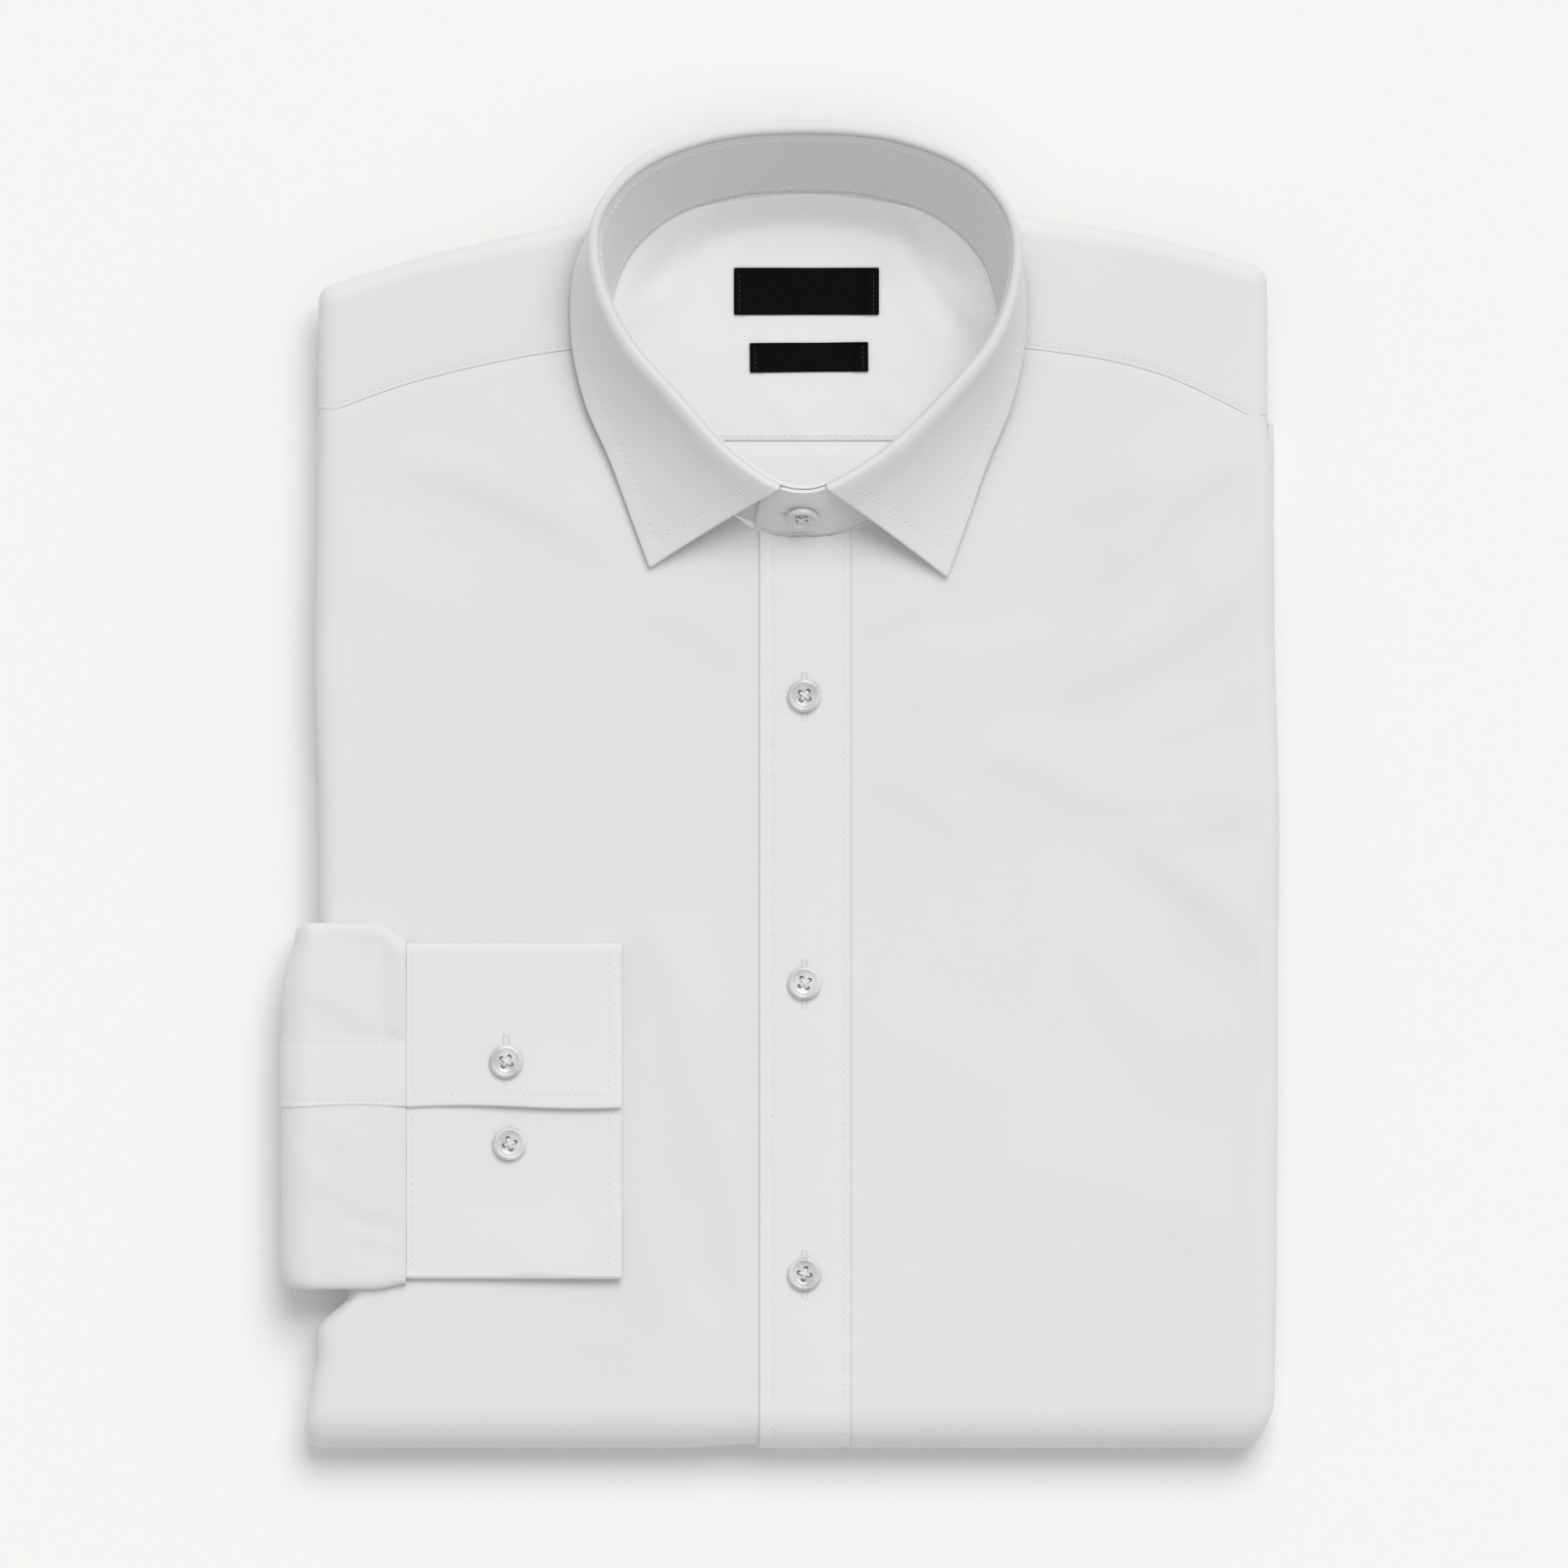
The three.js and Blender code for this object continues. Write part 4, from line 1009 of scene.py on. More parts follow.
def dish_surface(x, y, under=0.0):
    share = neck_share(x, y, DISH_GROW)
    rise = DISH_RISE * smooth(y, 105, 150) * smooth(share, 0.74, 0.99)
    clear_of_labels = smooth(np.hypot((x - 8) / 30, (y - 147) / 20), 0.9, 1.35)
    soft = crease_sum(inside_creases, x, y) * clear_of_labels * (1 - smooth(share, 0.9, 1))
    return stacked(x, y, DISH_TOP + rise + soft - under)


def dish_grid(y, under=0.0):
    right, left = (side[:, None] for side in dish_width(y))
    shares = (1 - np.cos(np.linspace(0, math.pi, 90))) / 2
    x = right + (left - right) * shares
    return dish_surface(x, y[:, None] + 0 * x, np.reshape(under, (-1, 1)))


# %% Inner yoke and back
inner_top = dish_outline[:, 1].max() - 0.12
inner_long = inner_top - INNER_SEAM_Y - INNER_WALL / 2
inner_y = inner_top - inner_long * (1 - np.cos(np.linspace(0, math.pi / 2, 64)))
# The inner yoke and back wear the lighter copy of the poplin: painted light.
inner_yoke = shell("inner_yoke_cloth", dish_grid(inner_y[::-1]), INNER_WALL, 1, edges=(0.5, SEWN, SEWN, SEWN))
finish(inner_yoke, painted_light_inner_poplin, "shirting", "inner_yoke")
back_y = np.linspace(dish_outline[:, 1].min() + 0.15, INNER_SEAM_Y + 3, 34)
back_under = 0.12 + (INNER_WALL + 0.03) * smooth(back_y, INNER_SEAM_Y - 5, INNER_SEAM_Y - 0.2)
back = shell("back_cloth", dish_grid(back_y, back_under), INNER_WALL, 1)
finish(back, painted_light_inner_poplin, "shirting", "back_panel")

# %% [markdown]
# ## The hidden layers
#
# Back, yoke facing, the other sleeve and the turned-in sides are folded out of sight. They are one rounded
# pile, and only its edges show, so the pile is a skin whose edge follows the plies: each ply is a soft bulge,
# and the plies slip a little in and out along the fold.

# %% Plies
edge_layers = table(
    "z side top",
    (1.5, 6.2, 16), (3.2, 2.9, 12), (5.4, 1.8, 12.5), (6.2, 1.8, 18), (7.2, 2.2, 9), (9.4, 5.2, 8),
    (10.2, 8.2, 13), (11.2, 4.2, 10), (12.8, 4.6, 6), (13.8, 8.4, 9), (14.6, 4.6, 4.8), (16.4, 2.4, 2.4),
    (18.6, 2.1, 2.1), (21.0, 3.5, 3.5), (22.5, 6.4, 6.4),
)
PLY = 1.35
PILE_TOP_Y = 152
CORE_FOLD = 2 * HALF - CLOTH - GAP - 0.5
SLEEVE_MOUTH = {"low": -162, "high": -42, "x": -138.5, "z": (9, 14.9)}


def pile_side(side, y, z, inset):
    halves = [follow(side_folds, "y", side + half, y) for half in ("", "_below")]
    return np.where(z > HIP_Z, *halves) - SIDEWAYS[side] * inset


def pile_point(u, v, z):
    """A place in the pile at a share across, a share from the bottom fold to the shoulders, and a height."""
    slip = 0.5 * np.sin(z * 2.1 + v * 17 + u * 9) * np.sin(v * 31 + z)
    ply = 0.55 * (0.5 + 0.5 * np.cos(2 * math.pi * z / PLY)) + 0.35 * slip
    bottom = HIP_Y - np.sqrt(np.maximum(CORE_FOLD**2 - (z - HIP_Z) ** 2, 0))
    y_side = bottom + (PILE_TOP_Y - bottom) * v
    corner = 5 * (smooth(v, 0.97, 1) + 1 - smooth(v, 0, 0.03))
    inset = follow(edge_layers, "z", "side", z) + ply + corner
    right, left = (pile_side(side, y_side, z, inset) for side in ("right", "left"))
    mouth = plateau(y_side, SLEEVE_MOUTH["low"], SLEEVE_MOUTH["high"], 3, 3) * plateau(
        z, *SLEEVE_MOUTH["z"], 0.4, 0.4
    )
    right = right + np.maximum(SLEEVE_MOUTH["x"] - right, 0) * mouth
    x = right + (left - right) * u
    top = follow(edge_layers, "z", "top", z) + 2 * ply
    y = bottom + (follow(shoulders, "x", "y", x) - top - bottom) * v
    return stacked(x, y, z)


# %% [markdown]
# The pile is closed by a cap above and one below. The upper one sinks beneath the lap of the right front, and
# into the neck opening: there the grid on both sides of the outline is moved onto it, so the wall is smooth.

# %% Caps of the pile
PILE_ACROSS, PILE_ALONG = 70, 100
CAP_ROOM = 0.2
RECESS_GROW, RECESS_SLOPE = 1.5, 0.012
share_x, share_y = np.linspace(0, 1, PILE_ACROSS + 1), np.linspace(0, 1, PILE_ALONG + 1)


def sunk_for_lap(x):
    return (LAP_DEPTH + GAP) * plateau(x, LAP_START, LAP_END + 2, 3, 3)


def cut_neck(points):
    share = neck_share(points[..., 0], points[..., 1], NECK_ROOM + RECESS_GROW)
    inside = share < 1
    beside = np.zeros_like(inside)
    for down in (-1, 0, 1):
        for across in (-1, 0, 1):
            beside |= np.roll(inside, (down, across), axis=(0, 1)) != inside
    to_outline = np.where(beside, np.where(inside, 1 - RECESS_SLOPE, 1) / share, 1)[..., None]
    points[..., :2] = DISH_MIDDLE + (points[..., :2] - DISH_MIDDLE) * to_outline
    points[..., 2] = np.where(inside, RECESS_FLOOR - 0.4, points[..., 2])


def pile_cap(z, upper):
    across, along = np.meshgrid(share_x, share_y)
    points = pile_point(across, along, z)
    x, y = points[..., 0], points[..., 1]
    inner = np.minimum(np.minimum(across, 1 - across), np.minimum(along, 1 - along)) > 0
    if upper:
        points[..., 2] -= inner * (sunk_for_lap(x) + CAP_ROOM)
        cut_neck(points)
    else:
        below_hem = CAP_ROOM * (1 - smooth(y, 112, 138))
        points[..., 2] += inner * (sunk_for_lap(x) * (1 - smooth(y, 138, 146)) + below_hem)
    return points


# %% Pile
def pile():
    """Rings of points from the bottom up, and caps that share the first and the last ring."""
    border_u = np.concatenate([share_x[:-1], np.ones(PILE_ALONG), share_x[:0:-1], np.zeros(PILE_ALONG)])
    border_v = np.concatenate([np.zeros(PILE_ACROSS), share_y[:-1], np.ones(PILE_ACROSS), share_y[:0:-1]])
    levels = np.linspace(edge_layers["z"][0], edge_layers["z"][-1], 64)
    border, width = len(border_u), PILE_ACROSS + 1
    rings = np.arange(len(levels) * border).reshape(len(levels), border)
    faces = [grid_quads(np.concatenate([rings, rings[:, :1]], axis=1))]
    points = [pile_point(border_u, border_v, levels[:, None]).reshape(-1, 3)]
    corners = np.rint(border_v * PILE_ALONG).astype(int) * width + np.rint(border_u * PILE_ACROSS).astype(int)
    for z, ring, upper in [(levels[0], rings[0], False), (levels[-1], rings[-1], True)]:
        cap = pile_cap(z, upper).reshape(-1, 3)
        place = np.arange(len(cap)) + sum(len(part) for part in points)
        place[corners] = ring
        quads = grid_quads(place.reshape(PILE_ALONG + 1, width))
        faces.append(quads if upper else quads[:, ::-1])
        points.append(cap)
    points = np.concatenate(points)
    flat = stacked(points[:, 0] + points[:, 2] * 0.5, points[:, 1] + points[:, 2])
    piece = mesh_piece("hidden_layers_cloth", points, np.concatenate(faces), flat)
    edit(piece, (bpy.ops.mesh.delete_loose, {}))
    return piece


hidden = finish(pile(), poplin, "shirting", "hidden_layers")

# %% [markdown]
# ## The sleeve
#
# The pressed sleeve is a flat tube. It comes out between the halves of the stack, turns up round the side in
# a loose bend and lies on the front. Its fullness is taken up at the cuff, where its edges draw in, and it
# has soft pulls. The tube is a closed loop of columns: outside, upper edge, inside and lower edge.

# %% Line of the sleeve
SLEEVE_WALL = 1.1
LYING = FRONT_TOP + GAP
SLEEVE_LOW, SLEEVE_HIGH = -158.6, -44.8
SLEEVE_START, SLEEVE_BEND, SLEEVE_END = -139.4, -147.6, -118.9
SLEEVE_DEEP = 12
HALF_FLAT, HALF_BEND = 1.45, 2.8  # half thickness of the tube, lying flat and in the bend
SLEEVE_MIDDLE = LYING + HALF_FLAT
BEND_RADIUS = (SLEEVE_MIDDLE - SLEEVE_DEEP) / 2
LAP_EDGE, SLIT_HIGH = -102.1, -79.8  # the two edges of the strip over the slit
ON_TOP = 3  # past this turn the sleeve lies on the front


def sleeve_path():
    """Stations along the middle of the sleeve: place, height, turn and half thickness."""
    inside = np.linspace(SLEEVE_START, SLEEVE_BEND, 6)[:-1]
    turns = np.linspace(0, math.pi, 40)
    outside = np.linspace(SLEEVE_BEND, SLEEVE_END + 0.1, 30)[1:]
    bend_z = (SLEEVE_MIDDLE + SLEEVE_DEEP) / 2 - np.cos(turns) * BEND_RADIUS
    x = np.concatenate([inside, SLEEVE_BEND - np.sin(turns) * BEND_RADIUS, outside])
    z = np.concatenate([SLEEVE_DEEP + 0 * inside, bend_z, SLEEVE_MIDDLE + 0 * outside])
    turn = np.concatenate([0 * inside, turns, math.pi + 0 * outside])
    bulge = np.concatenate([0 * inside, np.sin(turns), 0 * outside])
    return x, z, turn, HALF_FLAT + (HALF_BEND - HALF_FLAT) * bulge


def sleeve_edges(x, turn):
    """The folded edges of the tube draw in where its fullness is taken up by the cuff."""
    near_cuff = smooth(x, -128.5, SLEEVE_END) * (turn > ON_TOP)
    return SLEEVE_LOW + 1.7 * near_cuff, SLEEVE_HIGH - 4.6 * near_cuff


def on_sleeve(x, z, turn, y, out):
    corner = 4.4 * smooth(y, -74, -46) ** 2 + 1.2 * smooth(-y, 150, 160)
    return stacked(x + np.sin(turn) * (corner - out), y, z - np.cos(turn) * out)


# %% Surface of the sleeve
sleeve_creases = table(
    "x y to_x to_y bend width height",
    (-154, -64, -126, -82, 3, 3.4, 0.60),
    (-150, -92, -124, -84, 2, 3.0, 0.30),
    (-119, -50.5, -143, -47.5, 1, 1.4, -0.55),
    (-119, -56, -138, -53, 1, 1.8, -0.35),
    (-118, -140.5, -140, -135.5, 1, 1.6, -0.55),
    (-118, -148.5, -137, -145, 1, 1.6, -0.45),
    (-138, -128, -156, -112, 3, 3.6, 0.40),
    (-122, -112, -146, -108, 2, 2.6, 0.30),
)


def sleeve_relief(x, turn, y):
    flat_x = x - (math.pi - turn) * 3
    folds = 0.10 * np.sin(y / 6.3 + x / 9 + 1) * np.sin(y / 17 + 0.4)
    near_cuff = smooth(SLEEVE_END - x, 0, 4)
    beside_strip = 1 - plateau(y, LAP_EDGE, SLIT_HIGH, 3, 3)
    return (crease_sum(sleeve_creases, flat_x, y) + folds * near_cuff) * beside_strip


def rise_to_cuff(x, turn, y):
    """The upper flap of the cuff lies a layer higher, and the sleeve climbs to it at their seam."""
    upper_rows = 0.35 * smooth(y, LAP_EDGE - 0.4, LAP_EDGE + 1) + 0.65 * smooth(y, SLIT_HIGH, SLIT_HIGH + 1)
    return 1.45 * smooth(x, -127, SLEEVE_END - 0.3) * upper_rows * (turn > ON_TOP)


def sleeve_grid():
    x, z, turn, reach = sleeve_stations
    flat = np.linspace(0.012, 0.988, 46)
    edge_turns = np.pi * np.arange(1, 9) / 9
    low_y, high_y = sleeve_edges(x, turn)
    y = low_y + reach + (high_y - low_y - 2 * reach) * flat
    lip = 0.35 * trough(y - LAP_EDGE, 1.4) * smooth(turn, 0.8, 2.4)
    outside = reach + sleeve_relief(x, turn, y) - lip + rise_to_cuff(x, turn, y)
    return np.concatenate([
        on_sleeve(x, z, turn, y, outside),
        on_sleeve(x, z, turn, high_y - reach + np.sin(edge_turns) * reach, np.cos(edge_turns) * reach),
        on_sleeve(x, z, turn, y[:, ::-1], -reach),
        on_sleeve(x, z, turn, low_y + reach - np.sin(edge_turns) * reach, -np.cos(edge_turns) * reach),
    ], axis=1)


sleeve_stations = [part[:, None] for part in sleeve_path()]
sleeve = shell("right_sleeve_cloth", sleeve_grid(), SLEEVE_WALL, 1, closed=True, edges=(TURNED, SEWN, 0, 0))
finish(sleeve, poplin, "shirting", "right_sleeve")

# %% [markdown]
# ## The sleeve placket
#
# A narrow lined strip covers the slit of the sleeve. It runs over the bend to the cuff, and its free edge is
# in line with the edge of the cuff.

# %% Sleeve placket
STRIP_FIRST = 12
STRIP_WALL = 0.6
STRIP_STITCH = (LAP_EDGE + 2.2, SLIT_HIGH - 2.0)


def strip_grid():
    x, z, turn, reach = (part[STRIP_FIRST:] for part in sleeve_stations)
    y = joined((LAP_EDGE + 0.6, LAP_EDGE + 3.4, 6), (-97.8, -83.6, 10), (-82.8, SLIT_HIGH - 0.2, 6))
    y = y + 0.45 * np.sin(x / 7.5 + 0.6) * (1 - smooth(y, LAP_EDGE, -96)) * smooth(SLEEVE_END - x, 0, 8)
    pressed = 0.14 * sum(trough(y - line, 0.8) for line in STRIP_STITCH)
    soft = 0.06 * np.sin(x / 5 + 1) * np.sin((y + 102) / 22 * math.pi)
    return on_sleeve(x, z, turn, y, reach + 0.12 + STRIP_WALL + rise_to_cuff(x, turn, y) + soft - pressed)


strip = shell("sleeve_placket_cloth", strip_grid(), STRIP_WALL, 1, edges=(TURNED, SEWN, TURNED, SEWN))
finish(strip, lined_poplin, "shirting", "sleeve_placket")

# %% [markdown]
# ## The cuff
#
# The cuff is a lined strip wound once round: its upper flap lies over the lower lap, which ends beneath it.
# Its two buttons let it close at two widths, so both show. The edges are stitched a few millimetres in.

# %% Line of the cuff
CUFF_SEAM, CUFF_END = SLEEVE_END + 0.17, -50.4
CUFF_HIGH, CUFF_LOW = -50.1, -156.4
CUFF_LAP_END = -78
UNDER_Z = LYING + CLOTH / 2
LAP_Z = LYING + CLOTH * 1.5 + 0.5
FLAP_Z = LYING + CLOTH * 2.5 + 0.5 + GAP
CUFF_STITCH, SEAM_STITCH = 4.2, 2.0  # how far the rows of stitches lie from the edges and from the seam


def cuff_fold(y, from_z, to_z, side, steps=14):
    radius = abs(from_z - to_z) / 2
    centre = y - side * (radius + CLOTH / 2)
    turn = np.pi * np.arange(steps + 1) / steps
    return stacked(
        centre + side * np.sin(turn) * radius, (from_z + to_z) / 2 + np.cos(turn) * (from_z - to_z) / 2
    )


def level_run(y, to_y, z, count):
    return stacked(np.linspace(y, to_y, count), z)[1:-1]


def cuff_path():
    """Y and Z of the middle of the wall, from the edge of the flap round to the end of the lap."""
    upper_fold = cuff_fold(CUFF_HIGH, FLAP_Z, UNDER_Z, 1)
    lower_fold = cuff_fold(CUFF_LOW, UNDER_Z, LAP_Z, -1)
    start, end = LAP_EDGE + 0.6, CUFF_LAP_END - 0.6
    return np.concatenate([
        [[start, FLAP_Z]], level_run(start, start + 9, FLAP_Z, 16),
        level_run(start + 9, upper_fold[0, 0], FLAP_Z, 34), upper_fold,
        level_run(upper_fold[-1, 0], lower_fold[0, 0], UNDER_Z, 40), lower_fold,
        level_run(lower_fold[-1, 0], end, LAP_Z, 60), [[end, LAP_Z]],
    ])


# %% Cuff
FLAP_ROWS, FLAP_TOP_ROWS, LAP_TOP_ROWS = 30, 50, 60  # along the line from its start, and from its end


def cuff_relief(x, y, row, rows):
    """Lift of the outer face: it lies soft between its rows of stitches."""
    on_top = (row < FLAP_TOP_ROWS) + (row > rows - 1 - LAP_TOP_ROWS)
    end_line = trough(x - (CUFF_END - CUFF_STITCH), 1.0)
    seam_line = trough(x - (CUFF_SEAM + SEAM_STITCH), 1.0)
    edge_line = trough(y - (LAP_EDGE + CUFF_STITCH), 1.0) * (row < 40)
    soft = 0.14 * np.sin(x / 9 + y / 13) * np.sin(y / 7.5) + 0.10 * np.sin(x / 4.1 + 2)
    return on_top * (soft - 0.09 * np.maximum(np.maximum(end_line, seam_line), edge_line))


def cuff_grid():
    line = cuff_path()
    along = unit(np.gradient(line, axis=0))
    middle_y = line[:, :1]
    y, z = (line + stacked(-along[:, 1], along[:, 0]) * CLOTH / 2).T[..., None]
    x = joined((CUFF_SEAM + 0.05, CUFF_SEAM + 4, 7), (CUFF_SEAM + 4, CUFF_END - 8, 22),
               (CUFF_END - 8, CUFF_END - 0.6, 14))
    row = np.arange(len(line))[:, None]
    flap = 1 - smooth(row, 0, FLAP_ROWS)
    lifted = 1.2 * flap * smooth(x, CUFF_SEAM + 4, CUFF_SEAM + 40)
    corner = 1.8 * smooth(x, CUFF_SEAM + 8, CUFF_END) * smooth(-y, 126, 158)
    edge_wave = 0.5 * flap * np.sin((x + 118) / 11.5)
    return stacked(x, y + edge_wave, z + cuff_relief(x, middle_y, row, len(line)) + lifted + corner)


cuff = shell("right_cuff_cloth", cuff_grid(), CLOTH, 1, edges=(TURNED, TURNED, SEWN, TURNED))
finish(cuff, lined_poplin, "shirting", "right_cuff")

# %% [markdown]
# ## Labels
#
# Two woven labels are sewn to the inner yoke, and both are left plain. A woven label is a dense satin ribbon:
# black, with a fine diagonal grain, its two ends folded under and stitched down. It follows the cloth below.

# %% Labels
LABEL_WALL = 0.45
LABEL_INSET = 0.2
labels = rows_of(table(
    "x y width height tilt",
    (7.9, 156.1, 45.9, 14.9, 0),
    (8.7, 135.2, 37.5, 9.3, 0.5),
))


def satin_ribbon():
    material = new_material("black_label_satin", {"Roughness": 0.6, "Specular IOR Level": 0.06})
    threads = coordinates(material, "UV")
    yarn = noise(material, threads, (2600, 240, 1))
    relief(material, combine(material, "ADD", wave(material, threads, "DIAGONAL", 0.9), yarn), 0.05)
    tint(material, yarn, (0.0007, 0.0007, 0.0008), (0.0026, 0.0026, 0.0028))
    return material


def label_place(label, along, up):
    tilt = math.radians(label["tilt"])
    x = label["x"] + along * math.cos(tilt) - up * math.sin(tilt)
    y = label["y"] + along * math.sin(tilt) + up * math.cos(tilt)
    return x, y


def label_grid(label):
    half_width, half_height = label["width"] / 2 - LABEL_INSET, label["height"] / 2 - LABEL_INSET
    along = np.linspace(-half_width, half_width, 62)[None, :]
    up = np.linspace(-half_height, half_height, 22)[:, None]
    from_end, from_edge = half_width - np.abs(along), half_height - np.abs(up)
    folded = 0.35 * (1 - smooth(from_end, 3.6, 5.0)) - 0.16 * trough(from_end - 1.6, 0.5)
    wavy = 0.06 * trough(from_edge, 0.6) + 0.08 * np.sin(along / 5 + 1) * (from_edge > 0)
    return dish_surface(*label_place(label, along, up), -(GAP / 2 + LABEL_WALL + folded + wavy))


satin = satin_ribbon()
label_pieces = []
for name, label in zip(["neck_label", "size_label"], labels):
    piece = shell(name + "_ribbon", label_grid(label), LABEL_WALL, 1)
    label_pieces.append(finish(piece, satin, "label", name))

# %% [markdown]
# ## Buttons
#
# Shirt buttons are small turned discs of shell or pearly plastic: flat underneath, with a raised rim, a
# dished middle and four holes. One profile is spun round its axis, the holes are drilled with a boolean, and
# the finished button is copied to its six places. Crossed threads hold each one.

# %% Pearl and thread
def pearl():
    material = new_material("white_pearl", {"Roughness": 0.22, "Coat Weight": 0.5, "Coat Roughness": 0.1})
    place = coordinates(material, "Object")
    swirl = noise(material, place, (170, 120, 260), 4.0)
    tint(material, swirl, (0.50, 0.50, 0.51), (0.80, 0.80, 0.79), 0.32, 0.68)
    relief(material, noise(material, place, (900, 900, 900)), 0.03, 0.25)
    return material


def sewing_thread(name, dark, light):
    material = new_material(name, {"Roughness": 0.6, "Sheen Weight": 0.2})
    ply = noise(material, coordinates(material, "Object"), (2400, 2400, 2400))
    tint(material, ply, (dark, dark, dark), (light, light, light), 0.3, 0.7)
    return material


shell_pearl = pearl()
white_thread = sewing_thread("white_thread", 0.74, 0.84)
black_thread = sewing_thread("black_thread", 0.004, 0.012)

# %% One button
HOLE_AT, HOLE_RADIUS = 1.3, 0.72
FOUR_HOLES = [(across * HOLE_AT, along * HOLE_AT, 0) for across in (-1, 1) for along in (-1, 1)]
button_profile = table(
    "r z",
    (0, 0.15), (3.4, 0.15), (3.9, 0.0), (4.5, 0.12), (5.05, 0.7), (5.3, 1.25), (5.25, 1.7), (5.0, 2.1),
    (4.6, 2.35), (4.2, 2.35), (3.8, 2.1), (3.4, 1.8), (2.6, 1.6), (0, 1.5),
)


def button_body():
    points = stacked(button_profile["r"], 0, button_profile["z"]) * MM
    body = add_piece("button", points, [], [(k, k + 1) for k in range(len(points) - 1)])
    edit(
        body,
        (bpy.ops.mesh.spin, {"steps": 64, "angle": 2 * math.pi, "center": (0, 0, 0), "axis": (0, 0, 1)}),
        (bpy.ops.mesh.remove_doubles, {"threshold": 0.02 * MM}),
        (bpy.ops.mesh.normals_make_consistent, {}),
    )
    return body


def drill(body):
    bpy.ops.object.select_all(action="DESELECT")
    for hole in FOUR_HOLES:
        bpy.ops.mesh.primitive_cylinder_add(
            vertices=20, radius=HOLE_RADIUS * MM, depth=8 * MM, location=[place * MM for place in hole]
        )
        bit = bpy.context.object
        cut_away(body, bit)
        bpy.data.objects.remove(bit)


button_model = button_body()
drill(button_model)
select_only(button_model)
bpy.ops.object.shade_smooth_by_angle(angle=math.radians(40))
print("button:", len(button_model.data.polygons), "faces")

# %% [markdown]
# ## Stitches
#
# A row of machine stitches is a line of short tight loops of thread, each sunk at its ends. One little shape
# with a few dozen faces is repeated along a line, turned to the cloth and the way of sewing.

# %% Rows of stitches
STITCH_PITCH, STITCH_LONG = 2.3, 1.75
THREAD, THREAD_SIDES = 0.19, 6
STITCH_PROFILE = table(
    "along wide low", (0, 0.35, 1.0), (0.2, 1, 0.1), (0.5, 1, 0), (0.8, 1, 0.1), (1, 0.35, 1.0)
)


def thread_bars(name, starts, ends, normals, radius=THREAD, material=white_thread):
    """Short bars of thread from starts to ends, lying on cloth that faces along normals."""
    ahead = unit(ends - starts)
    side = unit(np.cross(normals, ahead))
    up = np.cross(ahead, side)
    turn = np.arange(THREAD_SIDES)[:, None] / THREAD_SIDES * 2 * math.pi
    circle = np.cos(turn) * side[:, None] + np.sin(turn) * up[:, None]
    rings = []
    for ring in rows_of(STITCH_PROFILE):
        middle = starts + (ends - starts) * ring["along"] + up * radius * (0.25 - 1.2 * ring["low"])
        rings.append(middle[:, None] + circle * radius * ring["wide"])
    points = np.stack(rings, axis=1)
    index = np.arange(points.size // 3).reshape(points.shape[:3])
    onward = np.roll(index, -1, axis=2)
    quads = np.stack([index[:, :-1], onward[:, :-1], onward[:, 1:], index[:, 1:]], axis=-1).reshape(-1, 4)
    caps = index[:, 0, ::-1].tolist() + index[:, -1].tolist()
    piece = add_piece(name, in_frame(points.reshape(-1, 3)), quads.tolist() + caps)
    piece.data.shade_smooth()
    return finish(piece, material, "thread")


def at_places(places, known, rows):
    """Rows of numbers read at places between the known ones."""
    return stacked(*(np.interp(places, known, column) for column in rows.T))


def sew(name, lines, pitch=STITCH_PITCH, length=STITCH_LONG, **thread):
    """lines: pairs of points along a seam and the way the cloth faces there."""
    starts, ends, facing = [], [], []
    for points, normals in lines:
        reach = np.concatenate([[0], np.cumsum(np.linalg.norm(np.diff(points, axis=0), axis=1))])
        first = np.arange(int(reach[-1] // pitch)) * pitch + (pitch - length) / 2
        starts.append(at_places(first, reach, points))
        ends.append(at_places(first + length, reach, points))
        facing.append(unit(at_places(first, reach, normals)))
    return thread_bars(name, *(np.concatenate(part) for part in (starts, ends, facing)), **thread)


# %% Stitches of the placket
def placket_line(x):
    run = np.linspace(-76, FOLD_END + 330, 900)
    across = x + 0 * run
    return placket_surface(across, run), -normals_of(placket_surface, across, run, 0.05)


placket_stitches = sew("placket_stitches", [placket_line(x) for x in STITCH_IN.values()])


# %% [markdown]
# ## Sewing on cloth that lies face up
#
# Most seams lie face up. A line of places is dropped on the finished piece from above, so the stitches sit on
# the cloth as it really lies, in its own creases.

# %% Stitches of yoke, inner yoke, cuff and sleeve placket
def on_piece(piece, x, y):
    points, normals = [], []
    for place in zip(np.ravel(x), np.ravel(y)):
        hit, where, normal, face = piece.ray_cast(Vector(in_frame([*place, 100])), Vector((0, 0, -1)))
        if hit:
            points.append(in_tables(where))
            normals.append(np.array(normal))
    return np.array(points), np.array(normals)


def drop_line(piece, start, end, count=160):
    x, y = np.linspace(start, end, count).T
    return on_piece(piece, x, y)


def yoke_line_at(x_from, x_to):
    x = np.linspace(x_from, x_to, 160)
    return on_piece(yoke, x, yoke_y(x) + 1.7)


